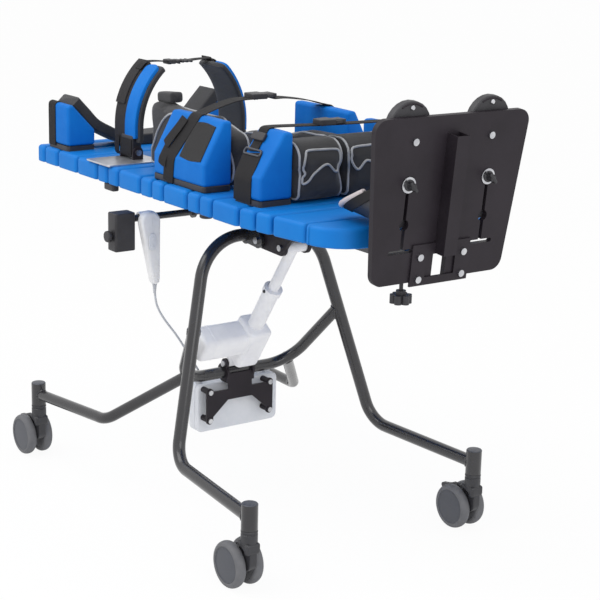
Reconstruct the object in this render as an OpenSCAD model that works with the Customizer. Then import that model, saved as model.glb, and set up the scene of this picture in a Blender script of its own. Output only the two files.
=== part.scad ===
// Supine standing frame: a padded board, tilted by a linear actuator, on a bent-tube base with castors.
// Origin on the floor under the middle of the frame, +X to the foot end, +Y to the user's left, +Z up.

/* [Base frame] */
// Outside diameter of the hoop's tube
tube_d = 28; // [27.5:0.5:32]
// Outside diameter of the cross tube
cross_d = 27; // [26.5:0.5:27]
// Outside diameter of the rear legs
rear_d = 26; // [24:0.5:26]
// Wall thickness of the frame tubes
tube_wall = 2.5; // [1.5:0.5:4]
// Distance between the left and right castor stems
castor_track = 600; // [580:10:660]
// Place of the front castor stems
castor_front_x = 394.5; // [370:0.5:430]
// Place of the rear castor stems
castor_rear_x = -542.5; // [-580:0.5:-500]
// Height of the legs where they meet the castor sockets
foot_z = 162; // [156:1:168]
// Half the distance between the knees of the legs
knee_half_y = 270; // [262:1:285]
// Place of the front knees
knee_front_x = 62.5; // [50:0.5:75]
// Height of the front knees
knee_front_z = 168; // [160:1:176]
// Place of the rear knees
knee_rear_x = -256; // [-270:1:-240]
// Height of the rear knees
knee_rear_z = 173; // [165:1:180]
// Place of the hoop's top bar
hoop_top_x = -20; // [-28:1:-14]
// Half the width of the hoop at its top corners
hoop_top_half_y = 147; // [140:1:160]
// Height of the hoop's top bar
hoop_top_z = 638; // [620:1:660]
// Bend radius of the hoop's top corners
hoop_bend_r = 115; // [90:1:120]
// Bend radius of the knees
knee_bend_r = 60; // [50:1:80]
// Place of the cross tube's middle
cross_x = -114; // [-120:1:-108]
// Half the width of the cross tube at its corners
cross_half_y = 150; // [140:1:160]
// Height of the cross tube's middle
cross_z = 290; // [286:1:296]
// Bend radius of the cross tube's corners
cross_bend_r = 80; // [70:1:95]

/* [Castors] */
// Outside diameter of the castor sockets
socket_d = 35; // [32:1:40]
// Length of the castor sockets
socket_h = 54; // [48:1:60]
// Diameter of the castor stems
stem_d = 11; // [10:0.5:14]
// Wheel diameter
wheel_d = 100; // [96:1:104]
// Width of one wheel
wheel_w = 24; // [20:1:26]
// Space between the twin wheels
wheel_gap = 19; // [18:1:24]
// Distance of the axle behind the stem
castor_trail = 38; // [34:1:42]
// Diameter of the wheel axle
axle_d = 8; // [6:0.5:10]

/* [Tilt drive] */
// Reach of the pivot lugs in front of the top bar
lug_reach = 48; // [44:1:54]
// Diameter of the tilt shaft
shaft_d = 12; // [10:0.5:16]
// Distance from the tilt shaft to the actuator's upper pin
pin_reach = 78; // [74:1:84]
// Diameter of the actuator's outer tube
cylinder_d = 38; // [34:1:42]
// Diameter of the actuator's rod
rod_d = 25; // [20:1:28]
// Width of the motor housing across its flats
motor_w = 64; // [56:1:66]
// Reach of the motor to the right of the gearhead
motor_reach = 146; // [120:1:148]

/* [Board] */
// Head end of the board
board_head_x = -648; // [-680:1:-630]
// Half width of the board
board_half_y = 240; // [232:1:255]
// Thickness of the slats
slat_t = 41; // [34:1:48]
// Distance from slat to slat
slat_pitch = 98; // [96:1:100]
// Space between slats
slat_gap = 6; // [4:0.5:9]
// Height of the board's underside over the tilt shaft
board_rise = 90; // [86:1:100]
// Half the distance between the two rails
rail_half_y = 54.5; // [52:0.5:60]
// Width and height of the rails
rail_w = 30; // [26:1:32]
// Wall thickness of the rails
rail_wall = 2.5; // [2:0.5:4]

/* [Supports] */
// Height of the black bases under the pads
base_t = 12; // [8:1:16]
// Height of the side pads
pad_h = 137; // [120:1:150]
// Height of the side pads' upright outer face
pad_upright = 45; // [38:1:60]
// Width of the side pads at their top
pad_top_w = 26; // [24:1:34]
// Length of the pelvic pads
pelvic_l = 224; // [200:1:230]
// Width of the pelvic pads at their foot
pelvic_w = 71; // [62:1:78]
// Distance of the pelvic pads' inner faces from the middle
pelvic_half_y = 152; // [148:1:158]
// Length of the knee side pads
knee_pad_l = 95; // [80:1:105]
// Width of the knee side pads at their foot
knee_pad_w = 81; // [72:1:88]
// Distance of the knee side pads' inner faces from the middle
knee_pad_half_y = 124; // [122:1:132]
// Width of the chest arms along the board
chest_w = 106; // [96:1:112]
// Thickness of the chest arms
chest_t = 20; // [16:1:24]
// Distance of the chest arms' hinges from the middle
chest_half_y = 145; // [140:1:152]
// Outer bend radius of the chest arms
chest_bend_r = 196; // [180:1:210]
// Height of the head wedges
wedge_h = 98; // [85:1:110]
// Width of the webbing
webbing_w = 25; // [20:1:30]

/* [Foot end] */
// Lean of the foot plate away from the user, in degrees
plate_lean = 6; // [2:0.5:8]
// Height of the foot plate
plate_h = 327; // [315:1:340]
// Half width of the foot plate at its top
plate_top_half = 190; // [180:1:200]
// Half width of the foot plate at its bottom
plate_low_half = 165; // [155:1:175]
// Thickness of the foot plate
plate_t = 12; // [10:1:15]
// Half the distance between the sandals
sandal_half_y = 99; // [90:1:104]
// Width of the sandal soles at the toes
sole_w = 100; // [88:1:108]
// Length of the sandal soles
sole_l = 247; // [230:1:255]

/* [Hidden] */
$fn = 48;
// Cut overrun, running clearance of shafts, and gap between pieces that pass each other
over = 1;
fit = 0.05;
gap = 0.3;
// Facets of the rounded foam blocks
soft_fn = 16;
// Bars steeper than this share of upright take their cross axis from X
steep_share = 0.9;

// Bends are a hair thicker than the straight tube that runs into them
bend_swell = 0.1;
// A strip's straight sides lie just inside its round ends
strip_share = 0.97;

// Castors
socket_top = 190;
socket_z = socket_top - socket_h;
stem_l = 40;
axle_z = wheel_d / 2;
hub_sink = 1;
hub_z = wheel_d - hub_sink;
fork_clear = 0.5;
fork_w = wheel_gap - 2 * fork_clear;
fork_boss_r = 17;
wheel_edge_r = 8;
wheel_dish = 2;
wheel_face_r = 38;
brake_back = 26;
brake_rise = 34;
brake_reach = 60;
brake_tip_rise = 26;
brake_pivot = [-castor_trail - brake_back, axle_z + brake_rise];
brake_tip = [-castor_trail - brake_reach, axle_z + brake_tip_rise];
brake_t = 12;
brake_arm_t = 18;
brake_pin_d = 6;

// Tilt drive
lug_drop = 4;
lug_t = 8;
lug_in_y = 36;
lug_r = 18;
bar_ring_r = 21;
cheek_t = 8;
cheek_clear = 0.5;
cheek_out_y = lug_in_y - cheek_clear;
cheek_in_y = cheek_out_y - cheek_t;
shaft_head_d = 16;
shaft_head_h = 6;
tilt = [hoop_top_x + lug_reach, 0, hoop_top_z - lug_drop];
pin_drop = 3;
pin = [tilt.x + pin_reach, 0, tilt.z - pin_drop];
clevis_ahead = 6;
clevis_rise = 23;
clevis = [cross_x + clevis_ahead, 0, cross_z + clevis_rise];
clevis_half_y = 32;
clevis_t = 6;
clevis_r = 12;
clevis_pin_d = 10;
clamp_r = 22;
stroke_axis = pin - clevis;
stroke_l = norm(stroke_axis);
stroke_lean = atan2(stroke_axis.x, stroke_axis.z);
gear_top = 130;
gear_w = 70;
gear_half_y = 31;
gear_foot = 16;
gear_tail_r = 9;
gear_lug_half_y = 31.5;
gear_r = 12;
motor_mid = 89;
motor_r = 14;
bore_low = 50;
cylinder_top = 250;
collar_d = 44;
collar_h = 14;
rod_low = 165;
eye_r = 14;
bolt_d = 8;
bolt_head_d = 14;
bolt_head_h = 5;

// Board
board_bottom_z = tilt.z + board_rise;
board_top_z = board_bottom_z + slat_t;
head_slat = 104;
foot_slat = 90;
mid_slats = 10;
slat_starts = concat([board_head_x],
    [for (i = [0:mid_slats]) board_head_x + head_slat + slat_pitch * i]);
board_foot_x = slat_starts[mid_slats + 1] + foot_slat;
slat_top_r = 10;
slat_low_r = 4;
split_slats = [3, 5, 7, 9];
split_gap = 4;
taper_start = 888;
taper_in = 30;
taper_x = board_head_x + taper_start;
taper_half_y = board_half_y - taper_in;
foot_corner_r = 95;
rail_head_in = 48;
rail_foot_in = 56;
rail_z = board_bottom_z - rail_w;
rail_head_x = board_head_x + rail_head_in;
rail_foot_x = board_foot_x - rail_foot_in;
bracket_t = 8;
bracket_z = rail_z - bracket_t;
bracket_back = 58;
bracket_x = tilt.x - bracket_back;
bracket_l = 200;
bracket_over = 6;

// Control box
panel_x = cross_x + cross_d / 2 + gap;
panel_t = 5;
screw_half_y = 83.4;
screw_low_z = 183.5;
screw_rise = 69;
screw_d = 6;
screw_head_d = 12;
screw_head_h = 4;
panel_boss_r = 9;
panel_waist = 44;
panel_notch_half = 34;
standoff_d = 14;
standoff_l = 26;
box_t = 42;
box_right_y = -98;
box_left_y = 126;
box_low_z = 146;
box_h = 116;
box_r = 14;

// Handset bar and accessory clamp
bar_d = 16;
bar_in = 424;
bar_x = board_head_x + bar_in;
bar_drop = 70;
bar_z = board_bottom_z - bar_drop;
bar_right_y = -262;
bar_left_y = 120;
hanger_t = 6;
hanger_r = 14;
clamp_w = 38;
clamp_right_y = -270;
clamp_l = 52;
clamp_low = 70;
clamp_high = 18;
clamp_corner_r = 6;
knob_stud_d = 8;
knob_d = 26;
knob_h = 14;
knob_stud_l = 6;

// Handset
handset_t = 24;
handset_l = 172;
handset_y = -190;
handset_top_r = 22;
handset_low_r = 9;
handset_top = 20;
hook_w = 22;
hook_t = 5;
handset_x = bar_x + bar_d / 2 + hook_t;
rocker_w = 24;
rocker_l = 40;
rocker_t = 6;
rocker_proud = 2;
rocker_clear = 0.6;
rocker_room = 2.5;
rocker_drop = 50;
rocker_pin_d = 3;
rocker_pin_l = 30;
rocker_pin_x = handset_x + handset_t - rocker_t + rocker_proud + rocker_pin_d / 2;
rocker_pin_z = bar_z + handset_top - rocker_drop - rocker_l / 2;
cord_d = 5;
cord_sides = 8;
gland_d = 12;
gland_h = 16;
cord_route = [[-199, -190, 502], [-199, -190, 485], [-197, -189, 468], [-192, -186, 452], [-184, -180, 436],
    [-175, -171, 420], [-168, -160, 404], [-163, -148, 388], [-158, -135, 370], [-154, -121, 350],
    [-151, -107, 329], [-148.5, -94, 310], [-147, -84.5, 293], [-147, -83, 278]];

// Supports
pad_z = board_top_z + base_t;
pad_r = 8;
pelvic_in = 511;
pelvic_x = board_head_x + pelvic_in;
knee_pad_in = 824;
knee_pad_x = board_head_x + knee_pad_in;
wedge_in = 38;
wedge_x = board_head_x + wedge_in;
wedge_l = 100;
wedge_edge = 12;
wedge_out_y = board_half_y - wedge_edge;
wedge_w = 74;
wedge_top_w = 12;
wedge_inner_h = 33;
liner_in = 15;
liner_l = 79;
liner_t = 26;
liner_rise = 0.5;
liner_flat_y = 62;
liner_over = 4;
clamp_knob_d = 30;
clamp_knob_h = 16;
clamp_slat = 7;
chest_in = 232;
chest_x = board_head_x + chest_in;
chest_plate_t = 4;
chest_plate_r = 12;
chest_plate_back = 10;
chest_plate_ahead = 46;
chest_plate_in = 45;
chest_plate_out = 100;
chest_hinge_rise = 20;
chest_hinge_z = board_top_z + chest_hinge_rise;
chest_boot_r = 15;
chest_boot_in = 38;
chest_boot_l = 52;
chest_ear_t = 5;
chest_ear_r = 14;
chest_pin_d = 8;
chest_straight = 55;
chest_turn = 47;
chest_edge_r = 8;
webbing_t = 2;
buckle_l = 34;
buckle_w = 34;
buckle_t = 12;
lock_l = 34;
lock_t = 6;
cushion_in = 378;
cushion_x = board_head_x + cushion_in;
cushion_l = 250;
cushion_t = 51;
cushion_h = 147;
cushion_rings = 12;
cushion_sides = 24;
cushion_end_share = 0.36;
cushion_side_share = 0.42;
strap_in = 84;
pelvic_strap_w = 38;
strap_x = pelvic_x + strap_in;
strap_rise = 24;
strap_level = 60;
strap_end = 15;
pelvic_buckle_l = 64;
pelvic_buckle_w = 46;
knee_cup_in = 830;
knee_cup_x = board_head_x + knee_cup_in;
knee_cup_l = 108;
knee_cup_half_gap = 10;
knee_cup_h = 128;
knee_buckle_l = 66;

// Foot end
plate_ahead = 62;
plate_drop = 61;
plate_x = board_foot_x + plate_ahead;
plate_z = board_bottom_z - plate_drop;
plate_corner_r = 26;
slide_clear = 0.3;
slide_w = rail_w - 2 * rail_wall - 2 * slide_clear;
slide_in = 270;
slide_head_x = board_foot_x - slide_in;
flange_w = 36;
flange_low = -8;
flange_h = 84;
flange_t = 4;
channel_w = 32;
channel_d = 29.6;
channel_wall = 3;
channel_low = 55;
channel_h = 237;
tie_h = 16;
notch_half = 17;
notch_h = 52;
foot_bolt_low = 6;
foot_bolt_rise = 45;
top_bolt_half_y = 94.5;
top_bolt_up = 281;
slot_w = 8;
slot_up = 65;
keyhole_d = 22;
keyhole_up = 118;
knob_up = 198;
slot_side = 27;
sole_t = 18;
heel_r = 40;
heel_up = 148;
cup_t = 5;
cup_h = 110;
sandal_knob_d = 24;
sandal_knob_h = 20;
washer_d = 32;
washer_t = 3;
star_back = 42;
star_x = plate_x - star_back;
star_drop = 68;
star_d = 44;
star_h = 18;
star_lobes = 6;
star_lobe_d = 15;
star_neck_d = 20;
star_neck_h = 8;

// Colours
blue = [0.06, 0.42, 0.80];
black = [0.13, 0.13, 0.14];
frame_grey = [0.22, 0.22, 0.24];
tyre_grey = [0.33, 0.34, 0.36];
white = [0.88, 0.88, 0.91];
box_grey = [0.75, 0.77, 0.81];
steel = [0.78, 0.78, 0.80];

// Vector helpers
function unit(v) = v / norm(v);
function turn(u, v) = acos(u * v);
function side(p, s) = [p.x, p.y * s, p.z];
function axes(p, ex, ey, ez) = [[ex.x, ey.x, ez.x, p.x], [ex.y, ey.y, ez.y, p.y], [ex.z, ey.z, ez.z, p.z],
    [0, 0, 0, 1]];

// Round bar from point a to point b
module bar_between(a, b, d) {
    w = unit(b - a);
    u = unit(cross(abs(w.z) < steep_share ? [0, 0, 1] : [1, 0, 0], w));
    multmatrix(axes(a, u, cross(w, u), w)) cylinder(d = d, h = norm(b - a));
}

// Bend of a round bar at corner p, from direction u to direction v
module bend_at(p, u, v, r, d) {
    start = p - u * r * tan(turn(u, v) / 2);
    centre = start + unit(v - u * (u * v)) * r;
    ex = unit(start - centre);
    multmatrix(axes(centre, ex, u, cross(ex, u)))
        rotate_extrude(angle = turn(u, v)) translate([r, 0]) circle(d = d);
}

// Round bar along corner points, with one bend radius for each inner corner
module bent_bar(points, radii, d) {
    last = len(points) - 1;
    dirs = [for (i = [0:last - 1]) unit(points[i + 1] - points[i])];
    cuts = [for (i = [0:last]) i == 0 || i == last ? 0
        : radii[i - 1] * tan(turn(dirs[i - 1], dirs[i]) / 2) - over];
    for (i = [0:last - 1])
        bar_between(points[i] + dirs[i] * cuts[i], points[i + 1] - dirs[i] * cuts[i + 1], d);
    for (i = [1:last - 1]) bend_at(points[i], dirs[i - 1], dirs[i], radii[i - 1], d + bend_swell);
}

// Open tube along corner points
module bent_tube(points, radii, d) {
    last = len(points) - 1;
    first_out = points[0] + unit(points[0] - points[1]) * over;
    last_out = points[last] + unit(points[last] - points[last - 1]) * over;
    inner = [for (i = [0:last]) i == 0 ? first_out : i == last ? last_out : points[i]];
    difference() {
        bent_bar(points, radii, d);
        bent_bar(inner, radii, d - 2 * tube_wall);
    }
}

// Flat strip with round ends between two points of a plane
module strip(a, b, t) {
    d = unit(b - a);
    n = [-d.y, d.x] * t / 2 * strip_share;
    polygon([a + n, b + n, b - n, a - n]);
    for (p = [a, b]) translate(p) circle(d = t);
}

// Outline of a band of thickness t along points of a plane, with mitred corners
function across(d) = [-d.y, d.x];
function band(points, t) = let (last = len(points) - 1,
    dirs = [for (i = [0:last - 1]) unit(points[i + 1] - points[i])],
    mitres = [for (i = [0:last]) unit(across(dirs[max(i - 1, 0)]) + across(dirs[min(i, last - 1)]))],
    outs = [for (i = [0:last]) mitres[i] * t / 2 / (mitres[i] * across(dirs[min(i, last - 1)]))])
    concat([for (i = [0:last]) points[i] + outs[i]], [for (i = [last:-1:0]) points[i] - outs[i]]);

// Rectangle with round corners, from its low corner
module round_rect(size, r) {
    translate([r, 0]) square([size.x - 2 * r, size.y]);
    translate([0, r]) square([size.x, size.y - 2 * r]);
    for (x = [r, size.x - r], y = [r, size.y - r]) translate([x, y]) circle(r = r);
}

// Outline in the Y-Z plane, drawn out along +X
module along_x(x, l) translate([x, 0, 0]) rotate([90, 0, 90]) linear_extrude(l) children();

// Outline in the X-Z plane, drawn out along +Y
module along_y(y, l) translate([0, y + l, 0]) rotate([90, 0, 0]) linear_extrude(l) children();

// Straight cylinder along +Y or +X
module cylinder_y(p, d, l) translate(p) rotate([-90, 0, 0]) cylinder(d = d, h = l);
module cylinder_x(p, d, l) translate(p) rotate([0, 90, 0]) cylinder(d = d, h = l);

module left_side() mirror([0, 1, 0]) children();

// Base frame
knee_front = [knee_front_x, -knee_half_y, knee_front_z];
hoop_corner = [hoop_top_x, -hoop_top_half_y, hoop_top_z];
stem_front = [castor_front_x, -castor_track / 2, foot_z];
stem_rear = [castor_rear_x, -castor_track / 2, foot_z];
cross_share = 0.41;
cross_end = hoop_corner + (knee_front - hoop_corner) * cross_share;
cross_corner = [cross_x, -cross_half_y, cross_z];
hoop_points = [stem_front, knee_front, hoop_corner, side(hoop_corner, -1), side(knee_front, -1),
    side(stem_front, -1)];
hoop_radii = [knee_bend_r, hoop_bend_r, hoop_bend_r, knee_bend_r];
cross_points = [cross_end, cross_corner, side(cross_corner, -1), side(cross_end, -1)];
cross_radii = [cross_bend_r, cross_bend_r];
cross_in = unit(cross_corner - cross_end);
cross_out = [0, 1, 0];
cross_half_turn = turn(cross_in, cross_out) / 2;
weld = cross_corner + unit(cross_out - cross_in) * cross_bend_r * (1 / cos(cross_half_turn) - 1);
rear_points = [weld, [knee_rear_x, -knee_half_y, knee_rear_z], stem_rear];

module sockets_solid() {
    for (x = [castor_front_x, castor_rear_x], s = [-1, 1])
        translate([x, s * castor_track / 2, socket_z]) cylinder(d = socket_d, h = socket_h);
}

module front_hoop() {
    color(frame_grey) difference() {
        bent_tube(hoop_points, hoop_radii, tube_d);
        sockets_solid();
    }
}

module cross_tube() {
    color(frame_grey) difference() {
        bent_tube(cross_points, cross_radii, cross_d);
        bent_bar(hoop_points, hoop_radii, tube_d);
    }
}

module rear_leg_right() {
    color(frame_grey) difference() {
        bent_tube(rear_points, [knee_bend_r], rear_d);
        bent_bar(cross_points, cross_radii, cross_d);
        sockets_solid();
    }
}

module rear_leg_left() left_side() rear_leg_right();

module castor_sockets() {
    color(frame_grey) difference() {
        sockets_solid();
        for (x = [castor_front_x, castor_rear_x], s = [-1, 1])
            translate([x, s * castor_track / 2, socket_z - over])
                cylinder(d = stem_d + 2 * fit, h = stem_l + fork_clear + over);
    }
}

module pivot_lugs() {
    color(frame_grey) difference() {
        for (y = [-lug_in_y - lug_t, lug_in_y]) along_y(y, lug_t) {
            translate([tilt.x, tilt.z]) circle(r = lug_r);
            translate([hoop_top_x, hoop_top_z]) circle(r = bar_ring_r);
            strip([hoop_top_x, hoop_top_z], [tilt.x, tilt.z], 2 * lug_r);
        }
        bent_bar(hoop_points, hoop_radii, tube_d);
        cylinder_y([tilt.x, -lug_in_y - lug_t - over, tilt.z], shaft_d + 2 * fit,
            2 * (lug_in_y + lug_t + over));
    }
}

module tilt_shaft() {
    end = lug_in_y + lug_t;
    color(steel) {
        cylinder_y([tilt.x, -end, tilt.z], shaft_d, 2 * end);
        for (y = [-end - shaft_head_h, end]) cylinder_y([tilt.x, y, tilt.z], shaft_head_d, shaft_head_h);
    }
}

// Castors: s is -1 on the right and 1 on the left, x is the stem's place
module castor_at(x, s) translate([x, s * castor_track / 2, 0]) children();

module fork_solid(braked) {
    hub_r = socket_d / 2;
    axle = [-castor_trail, axle_z];
    difference() {
        union() {
            translate([0, 0, hub_z]) cylinder(d = socket_d, h = socket_z - fork_clear - hub_z);
            translate([0, 0, socket_z - fork_clear - over]) cylinder(d = stem_d, h = stem_l + over);
            along_y(-fork_w / 2, fork_w) {
                translate(axle) circle(r = fork_boss_r);
                polygon([[hub_r, hub_z + over], [hub_r, axle_z], [axle.x, axle_z - fork_boss_r],
                    [axle.x - fork_boss_r, axle_z], [-hub_r, hub_z + over]]);
            }
            if (braked) along_y(-fork_w / 2, fork_w / 2 - fork_clear) strip(axle, brake_pivot, brake_arm_t);
            if (braked) cylinder_y([brake_pivot.x, -fork_w / 2, brake_pivot.y], brake_pin_d, fork_w);
        }
        cylinder_y([axle.x, -fork_w / 2 - over, axle_z], axle_d + 2 * fit, fork_w + 2 * over);
    }
}

module wheels_solid() {
    r = wheel_d / 2;
    inner = wheel_gap / 2;
    translate([-castor_trail, 0, axle_z]) rotate([-90, 0, 0]) {
        translate([0, 0, -inner - wheel_w / 2]) cylinder(d = axle_d, h = wheel_gap + wheel_w);
        for (s = [0, 1]) mirror([0, 0, s]) translate([0, 0, inner]) rotate_extrude() difference() {
            union() {
                square([r - wheel_edge_r, wheel_w]);
                translate([0, wheel_edge_r]) square([r, wheel_w - 2 * wheel_edge_r]);
                for (z = [wheel_edge_r, wheel_w - wheel_edge_r]) translate([r - wheel_edge_r, z])
                    circle(r = wheel_edge_r);
            }
            translate([0, wheel_w - wheel_dish]) square([wheel_face_r, wheel_dish + over]);
            translate([r, -wheel_w]) square([r, 3 * wheel_w]);
        }
    }
}

module brake_solid() {
    lever_t = fork_w / 2 - gap;
    difference() {
        union() {
            cylinder_y([brake_pivot.x, gap, brake_pivot.y], brake_arm_t, lever_t);
            along_y(gap, lever_t) polygon(band([brake_pivot, brake_tip], brake_t));
            cylinder_y([brake_tip.x, gap, brake_tip.y], brake_t + over, lever_t);
        }
        cylinder_y([brake_pivot.x, -over, brake_pivot.y], brake_pin_d + 2 * fit, fork_w + 2 * over);
    }
}

module castor_fork_front_left() color(frame_grey) castor_at(castor_front_x, 1) fork_solid(true);
module castor_fork_front_right() color(frame_grey) castor_at(castor_front_x, -1) fork_solid(false);
module castor_fork_rear_left() color(frame_grey) castor_at(castor_rear_x, 1) fork_solid(false);
module castor_fork_rear_right() color(frame_grey) castor_at(castor_rear_x, -1) fork_solid(true);
module castor_wheels_front_left() color(tyre_grey) castor_at(castor_front_x, 1) wheels_solid();
module castor_wheels_front_right() color(tyre_grey) castor_at(castor_front_x, -1) wheels_solid();
module castor_wheels_rear_left() color(tyre_grey) castor_at(castor_rear_x, 1) wheels_solid();
module castor_wheels_rear_right() color(tyre_grey) castor_at(castor_rear_x, -1) wheels_solid();
module castor_brake_front_left() color(black) castor_at(castor_front_x, 1) brake_solid();
module castor_brake_rear_right() color(black) castor_at(castor_rear_x, -1) brake_solid();

// Control bracket: screw panel, standoffs, and the clevis plates that are welded to the cross tube
screw_zs = [screw_low_z, screw_low_z + screw_rise];

module control_bracket() {
    top = screw_low_z + screw_rise;
    color(black) difference() {
        union() {
            along_x(panel_x, panel_t) {
                for (y = [-screw_half_y, screw_half_y]) strip([y, screw_low_z], [y, top], 2 * panel_boss_r);
                polygon([[screw_half_y, screw_low_z], [screw_half_y, top], [-screw_half_y, top],
                    [-screw_half_y, screw_low_z], [-panel_notch_half, screw_low_z + panel_waist],
                    [panel_notch_half, screw_low_z + panel_waist]]);
                translate([-clevis_half_y, top - over]) square([2 * clevis_half_y, cross_z - top + over]);
            }
            for (y = [-clevis_half_y - clevis_t, clevis_half_y]) along_y(y, clevis_t) {
                translate([cross_x, cross_z]) circle(r = clamp_r);
                translate([clevis.x, clevis.z]) circle(r = clevis_r);
                strip([cross_x, cross_z], [clevis.x, clevis.z], 2 * clevis_r);
                translate([cross_x, cross_z - clamp_r]) square([panel_x + panel_t - cross_x, clamp_r]);
            }
            for (y = [-screw_half_y, screw_half_y], z = screw_zs)
                cylinder_x([panel_x - standoff_l, y, z], standoff_d, standoff_l);
        }
        bent_bar(cross_points, cross_radii, cross_d);
        cylinder_y([clevis.x, -clevis_half_y - clevis_t - over, clevis.z], clevis_pin_d + 2 * fit,
            2 * (clevis_half_y + clevis_t + over));
        for (y = [-screw_half_y, screw_half_y], z = screw_zs)
            cylinder_x([panel_x - standoff_l - over, y, z], screw_d + 2 * fit,
                standoff_l + panel_t + 2 * over);
    }
}

module control_fasteners() {
    end = clevis_half_y + clevis_t;
    color(steel) {
        for (y = [-screw_half_y, screw_half_y], z = screw_zs) {
            cylinder_x([panel_x - standoff_l, y, z], screw_d, standoff_l + panel_t);
            cylinder_x([panel_x + panel_t, y, z], screw_head_d, screw_head_h);
        }
        cylinder_y([clevis.x, -end - bolt_head_h, clevis.z], clevis_pin_d, 2 * (end + bolt_head_h));
        for (y = [-end - bolt_head_h, end]) cylinder_y([clevis.x, y, clevis.z], bolt_head_d, bolt_head_h);
    }
}

module control_box() {
    color(box_grey) along_x(panel_x - standoff_l - box_t, box_t)
        translate([box_right_y, box_low_z]) round_rect([box_left_y - box_right_y, box_h], box_r);
}

// Handset cord: an eight-sided tube swept along its route, and the gland where it enters the control box
function route_dir(i) = unit(cord_route[min(i + 1, len(cord_route) - 1)] - cord_route[max(i - 1, 0)]);
function cord_ring(i) = let (w = route_dir(i), u = unit(cross([1, 0, 0], w)), v = cross(w, u))
    [for (k = [0:cord_sides - 1]) let (turned = 360 * k / cord_sides)
        cord_route[i] + (u * cos(turned) + v * sin(turned)) * cord_d / 2];

// Triangles between rings of points that follow each other, and over the first and the last ring
function ring_skins(rings, n) = [for (i = [0:rings - 2], k = [0:n - 1])
    let (a = i * n + k, b = i * n + (k + 1) % n) each [[a, a + n, b], [b, a + n, b + n]]];
function ring_caps(rings, n) = let (top = (rings - 1) * n)
    [for (k = [1:n - 2]) each [[0, k, k + 1], [top, top + k + 1, top + k]]];

module handset_cord() {
    rings = len(cord_route);
    points = [for (i = [0:rings - 1]) each cord_ring(i)];
    color(box_grey) polyhedron(points, concat(ring_skins(rings, cord_sides), ring_caps(rings, cord_sides)));
}

module cord_gland() {
    foot = cord_route[len(cord_route) - 1];
    color(box_grey) translate([foot.x, foot.y, box_low_z + box_h]) cylinder(d = gland_d, h = gland_h);
}

// Actuator, drawn along its own axis from the clevis pin and leaned to the board's pin
module on_stroke() translate(clevis) rotate([0, stroke_lean, 0]) children();

module actuator_motor() {
    color(white) on_stroke() difference() {
        union() {
            translate([-gear_w / 2, -gear_half_y, gear_foot]) linear_extrude(gear_top - gear_foot)
                round_rect([gear_w, 2 * gear_half_y], gear_r);
            along_y(-gear_lug_half_y, 2 * gear_lug_half_y) {
                circle(r = gear_tail_r);
                translate([-gear_tail_r, 0]) square([2 * gear_tail_r, gear_foot + over]);
            }
            along_y(-motor_reach, motor_reach - gear_half_y + over)
                translate([-motor_w / 2, motor_mid - motor_w / 2]) round_rect([motor_w, motor_w], motor_r);
        }
        cylinder_y([0, -gear_lug_half_y - over, 0], clevis_pin_d + 2 * fit, 2 * (gear_lug_half_y + over));
        translate([0, 0, bore_low]) cylinder(d = rod_d + 2 * over, h = gear_top - bore_low + over);
    }
}

module actuator_tube() {
    color(white) on_stroke() difference() {
        union() {
            translate([0, 0, gear_top]) cylinder(d = cylinder_d, h = cylinder_top - gear_top);
            translate([0, 0, cylinder_top - collar_h]) cylinder(d = collar_d, h = collar_h);
        }
        translate([0, 0, gear_top - over])
            cylinder(d = rod_d + 2 * fit, h = cylinder_top - gear_top + 2 * over);
    }
}

module actuator_rod() {
    eye_half_y = cheek_in_y - gap;
    color(white) on_stroke() difference() {
        union() {
            translate([0, 0, rod_low]) cylinder(d = rod_d, h = stroke_l - rod_low);
            cylinder_y([0, -eye_half_y, stroke_l], 2 * eye_r, 2 * eye_half_y);
        }
        cylinder_y([0, -eye_half_y - over, stroke_l], bolt_d + 2 * fit, 2 * (eye_half_y + over));
    }
}

// Board
module board_outline() {
    bend_x = board_foot_x - foot_corner_r;
    polygon([[board_head_x, -board_half_y], [taper_x, -board_half_y], [bend_x, -taper_half_y],
        [bend_x, taper_half_y], [taper_x, board_half_y], [board_head_x, board_half_y]]);
    translate([bend_x - over, -taper_half_y + foot_corner_r])
        square([foot_corner_r + over, 2 * (taper_half_y - foot_corner_r)]);
    for (s = [-1, 1]) translate([bend_x, s * (taper_half_y - foot_corner_r)]) circle(r = foot_corner_r);
}

module slat_profile(l) {
    translate([slat_low_r, 0]) square([l - 2 * slat_low_r, slat_t - slat_top_r]);
    translate([0, slat_low_r]) square([l, slat_t - slat_low_r - slat_top_r]);
    translate([slat_top_r, slat_low_r]) square([l - 2 * slat_top_r, slat_t - slat_low_r]);
    for (x = [slat_low_r, l - slat_low_r]) translate([x, slat_low_r]) circle(r = slat_low_r);
    for (x = [slat_top_r, l - slat_top_r]) translate([x, slat_t - slat_top_r]) circle(r = slat_top_r);
}

module board_slats() {
    count = len(slat_starts);
    color(blue) for (i = [0:count - 1]) {
        x = slat_starts[i] + (i == 0 ? 0 : slat_gap / 2);
        end = i == count - 1 ? board_foot_x : slat_starts[i + 1] - slat_gap / 2;
        split = len(search(i, split_slats)) > 0;
        half = (end - x - split_gap) / 2;
        for (start = split ? [x, end - half] : [x]) intersection() {
            along_y(-board_half_y - over, 2 * (board_half_y + over)) translate([start, board_bottom_z])
                slat_profile(split ? half : end - x);
            translate([0, 0, board_bottom_z - over]) linear_extrude(slat_t + 2 * over) board_outline();
        }
    }
}

module board_rails() {
    color(frame_grey) for (s = [-1, 1])
        translate([rail_head_x, s * rail_half_y - rail_w / 2, rail_z]) difference() {
            cube([rail_foot_x - rail_head_x, rail_w, rail_w]);
            translate([-over, rail_wall, rail_wall])
                cube([rail_foot_x - rail_head_x + 2 * over, rail_w - 2 * rail_wall, rail_w - 2 * rail_wall]);
        }
}

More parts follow.
